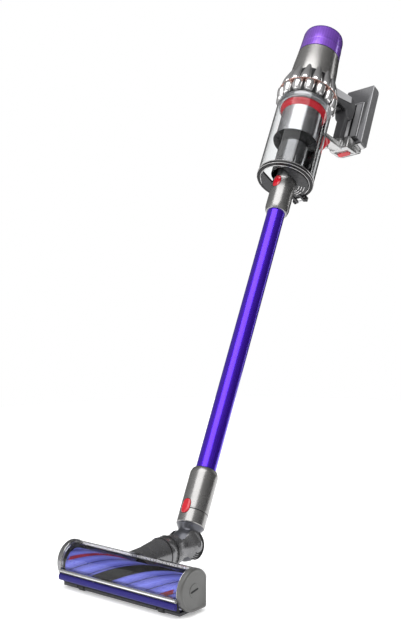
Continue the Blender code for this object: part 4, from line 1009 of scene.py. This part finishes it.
def dress_nodes():
    """Finishes of the nodes that are shown as smooth copies of themselves."""
    finishes = [
        (nickel("silver_head", (0.50, 0.50, 0.51), 0.30, HEAD), ["head_housing"]),
        (clear("window_clear", (0.96, 0.97, 0.98), 0.015, 1.22, HEAD), ["head_window"]),
        (plastic("sole_dark", (0.022, 0.022, 0.026), 0.5, HEAD), ["sole_plate"]),
        (fibre("felt", (0.01, 0.01, 0.01), (0.05, 0.05, 0.05)), ["sole_felt"]),
        (plastic("wheel_black", (0.012, 0.012, 0.013), 0.55, HEAD, 0.3),
         ["front_wheel_left", "front_wheel_right", "rear_roller"]),
        (wound("motor_can", (0.5, 0.5, 0.52), 0.9, 0.004, HEAD), ["brush_motor"]),
        (gunmetal("gunmetal_mount", (0.17, 0.17, 0.175), 0.26), ["neck_mount"]),
        (gunmetal("gunmetal_fork", (0.17, 0.17, 0.175), 0.26), ["neck_fork"]),
        (gunmetal("gunmetal_elbow", (0.085, 0.087, 0.100), 0.32, STICK), ["elbow"]),
        (gunmetal("gunmetal_pin", (0.10, 0.10, 0.105), 0.34), ["knuckle_pin"]),
        (ribbed_rubber("duct_rubber"), ["neck_duct"]),
        (nickel("ground_steel", (0.6, 0.6, 0.62), 0.25), ["trigger_pin", "door_hinge_pin"]),
        (nickel("nickel_handle", (0.50, 0.50, 0.50), 0.28), ["handle_strut", "battery_foot"]),
        ("red", ["bin_release_lever", "battery_release_button"]),
        (plastic("charcoal_inner", (0.05, 0.05, 0.052), 0.35, STICK, 0.1, 0.3), ["inlet_tube"]),
        (wound("windings", (0.45, 0.20, 0.10), 0.8, 0.0012), ["motor_stator", "motor_rotor"]),
        (board_shade(), ["control_board"]),
        (plastic("grip_dark", (0.045, 0.045, 0.048), 0.42), ["grip"]),
        (plastic("panel_pale", (0.36, 0.36, 0.37), 0.35, STICK, 0.1, 0.2),
         ["grip_panel_left", "grip_panel_right"]),
        (plastic("runner_dark", (0.05, 0.05, 0.052), 0.4), ["bin_runner"]),
        (plastic("rim_smoke", (0.012, 0.012, 0.013), 0.28, STICK, 0.05, 0.0, 0.2), ["bin_rim"]),
        (plastic("door_smoke", (0.030, 0.030, 0.032), 0.28, STICK, 0.05, 0.0, 0.3), ["bin_door"]),
        (fibre("filter_paper", (0.6, 0.6, 0.56), (0.85, 0.85, 0.82)), ["filter_pleats"]),
        (plastic("fan_grey", (0.4, 0.4, 0.42), 0.4), ["impeller"]),
        (plastic("trigger_black", (0.014, 0.014, 0.015), 0.38, STICK, 0.12, 0.2), ["trigger"]),
        (gunmetal("battery_grey", (0.125, 0.125, 0.13), 0.40, STICK), ["battery_case"]),
        (wound("cell_wrap", (0.05, 0.22, 0.12), 0.1, 0.05), ["battery_cells"]),
    ]
    for look, names in finishes:
        wear(names, look)


# ------------ stage

CAMERA_PLACE = Vector((1.130, -1.292, 0.583))
CAMERA_RIGHT = Vector((0.7869, 0.6170, 0.0))
CAMERA_UP = Vector((-0.0581, 0.0741, 0.9956))
CAMERA_BACK = Vector((0.6143, -0.7834, 0.0941))
CAMERA_LENS = 64.69

# Lowest and highest strength of the surroundings: as light, and as mirrored in glossy surfaces
AMBIENT = (0.30, 1.15)
MIRRORED = (0.03, 0.52)

# Turn of the stick's surface that mirrors the key light towards the camera
KEY_TURN = math.radians(-15.0)


def add_camera():
    data = bpy.data.cameras.new("camera")
    data.lens = CAMERA_LENS
    data.sensor_width = 36.0
    data.clip_end = 60.0
    camera = add_object("camera", data)
    camera.matrix_world = frame_matrix(CAMERA_RIGHT, CAMERA_UP, CAMERA_BACK, CAMERA_PLACE)
    bpy.context.scene.camera = camera


def area_light(name, place, target, size, power):
    data = bpy.data.lights.new(name, "AREA")
    data.shape = "RECTANGLE"
    data.size, data.size_y = size
    data.energy = power
    lamp = add_object(name, data)
    turn = (target - place).to_track_quat("-Z", "Y").to_matrix().to_4x4()
    lamp.matrix_world = Matrix.Translation(place) @ turn


def world_fade(shade, direction, low, high):
    """Strength that grows steadily towards one direction of the sky."""
    node = shade.node("ShaderNodeVectorMath")
    node.operation = "DOT_PRODUCT"
    node.inputs[1].default_value = direction
    shade.link(shade.sky, node.inputs[0])
    return shade.remap(node.outputs["Value"], -0.8, 0.8, low, high)


class Sky(Shade):
    """The studio's surroundings: white where seen, graded where they light or are mirrored."""

    def __init__(self, world):
        self.tree = world.node_tree
        self.sky = self.node("ShaderNodeTexCoord").outputs["Generated"]
        self.path = self.node("ShaderNodeLightPath").outputs

    def either(self, first, second, conditions):
        value = self.calc("MAXIMUM", self.path[first], self.path[second])
        for condition in conditions:
            value = self.calc("MULTIPLY", value, condition)
        return value

    def blend(self, factor, first, second):
        node = self.node("ShaderNodeMix")
        for value, target in ((factor, 0), (first, 2), (second, 3)):
            self.feed(value, node.inputs[target])
        return node.outputs[0]


def add_world():
    world = bpy.data.worlds.new("studio")
    bpy.context.scene.world = world
    world.use_nodes = True
    sky = Sky(world)
    undiffused = sky.calc("LESS_THAN", sky.path["Diffuse Depth"], 0.5)
    unmirrored = sky.calc("LESS_THAN", sky.path["Glossy Depth"], 0.5)
    mirrored = sky.calc("GREATER_THAN", sky.path["Glossy Depth"], 0.5)
    seen = sky.either("Is Camera Ray", "Is Transmission Ray", (undiffused, unmirrored))
    glossy = sky.either("Is Glossy Ray", "Is Transmission Ray", (undiffused, mirrored))
    up = Vector((0, 0, 1))
    brightest = (0.40 * up - 0.60 * CAMERA_RIGHT + 0.70 * CAMERA_BACK).normalized()
    lighting = world_fade(sky, brightest, *AMBIENT)
    mirror = world_fade(sky, (CAMERA_BACK - CAMERA_RIGHT).normalized(), *MIRRORED)
    strength = sky.blend(seen, sky.blend(glossy, lighting, mirror), 1.0)
    background = sky.tree.nodes["Background"]
    background.inputs["Color"].default_value = (1.0, 1.0, 1.0, 1.0)
    sky.link(strength, background.inputs["Strength"])


def add_stage():
    middle = 0.5 * (Vector(CAD_BOX[0]) + Vector(CAD_BOX[1]))
    bm = bmesh.new()
    bmesh.ops.create_circle(bm, cap_ends=True, segments=96, radius=1.5)
    floor = add_object("floor", mesh_from("floor", bm))
    floor.location = (middle.x, middle.y, CAD_BOX[0][2] - 0.0004)
    shade = Shade("pale_floor", (0.92, 0.92, 0.92), 0.7)
    shade.put("Specular IOR Level", 0.05)
    shade.put("Emission Color", (1.0, 1.0, 1.0, 1.0))
    shade.put("Emission Strength", 0.30)
    shade.mottle(0.005, 2.0, 0.05)
    floor.data.materials.append(shade.material)
    right, up, back = CAMERA_RIGHT, Vector((0, 0, 1)), CAMERA_BACK
    front = (back - STICK_AXIS * back.dot(STICK_AXIS)).normalized()
    side = front.cross(STICK_AXIS).normalized()
    side = side if side.dot(right) > 0.0 else -side
    normal = math.cos(KEY_TURN) * front + math.sin(KEY_TURN) * side
    mirrored = 2.0 * normal.dot(back) * normal - back
    area_light("key", middle + 2.6 * mirrored, middle, (2.6, 2.6), 60.0)
    area_light("fill", middle - 2.2 * right + 1.0 * back + 0.2 * up, middle, (0.8, 2.4), 9.0)
    area_light("edge", middle + 2.0 * right - 1.3 * back + 0.3 * up, middle, (0.25, 2.2), 4.0)
    add_world()
    bpy.context.scene.view_settings.view_transform = "Standard"


SHADES = {
    "nickel": nickel("cuff_nickel", (0.30, 0.295, 0.29), 0.27),
    "motor": nickel("motor_nickel", (0.40, 0.39, 0.38), 0.24),
    "chrome": nickel("cyclone_chrome", (0.74, 0.73, 0.73), 0.10),
    "copper": nickel("copper_line", (0.62, 0.34, 0.28), 0.28),
    # Near-black for dark seams, grooves and ribs, and as painted shade in gaps, the lock's slot and the
    # battery's channels.
    "joint_black_and_gap_shade": plastic("joint_black_and_gap_shade", (0.006, 0.006, 0.007), 0.5, STICK, 0.14, 0.0, 0.25),
    "black_gloss": plastic("black_gloss", (0.005, 0.005, 0.006), 0.24, STICK, 0.05, 0.0, 0.14),
    "filter": filter_skin(),
    "filter_dark": plastic("filter_dark", (0.035, 0.010, 0.16), 0.3, STICK, 0.05, 0.4),
    "anodised": anodised(),
    "red": red_gloss(),
    "clear": clear("bin_clear", (0.97, 0.98, 0.985), 0.02, 1.22),
    "collar": nickel("collar_grey", (0.30, 0.30, 0.31), 0.22),
    "perforated": perforated(),
    "bands": brush_bands(),
    "carbon": fibre("carbon_fibre", (0.002, 0.002, 0.002), (0.016, 0.014, 0.013), 1800.0, 0.0),
    "crimson": fibre("crimson_fibre", (0.12, 0.002, 0.02), (0.42, 0.008, 0.05), 1800.0, 0.05),
    "comb": fibre("comb_white", (0.86, 0.82, 0.80), (0.96, 0.95, 0.94), 1800.0),
    "cap_left": rings_shade("cap_gunmetal", (0.22, 0.22, 0.225), 0.24, 0.85, BRUSH_CENTRE, 0.0022),
    "cap_right": plastic("cap_grey", (0.075, 0.075, 0.072), 0.36, HEAD, 0.1, 0.25),
    "rail": nickel("silver_rail_metal", (0.66, 0.66, 0.67), 0.18, HEAD),
    "bumper": plastic("soft_violet", (0.014, 0.010, 0.13), 0.45, HEAD, 0.2, 0.0, 0.2),
    # Pale grey for the painted highlights on the battery.
    "pale": plastic("pale_painted_highlight", (0.50, 0.50, 0.51), 0.35, STICK, 0.12, 0.2),
    "face": plastic("face_grey", (0.20, 0.20, 0.205), 0.36, STICK, 0.12, 0.2),
    "smoke": nickel("smoke_grey", (0.16, 0.16, 0.165), 0.22),
}
SHADE_SLOTS = {"nickel": "nickel", "chrome": "nickel", "copper": "copper_gasket",
               "filter_dark": "purple_plastic", "red": "red_plastic", "clear": "clear_plastic",
               "carbon": "carbon_bristle", "crimson": "red_bristle", "comb": "pale_grey",
               "cap_left": "gunmetal", "cap_right": "satin_grey", "rail": "nickel"}
for key, slot in SHADE_SLOTS.items():
    SHADES[key].slot = slot
dress_nodes()
add_cyclones()
add_motor()
add_filter()
add_wand()
add_bin()
add_shroud()
add_brush()
add_caps()
add_window_lines()
add_rail()
add_comb()
add_neck()
add_handle()
add_camera()
add_stage()
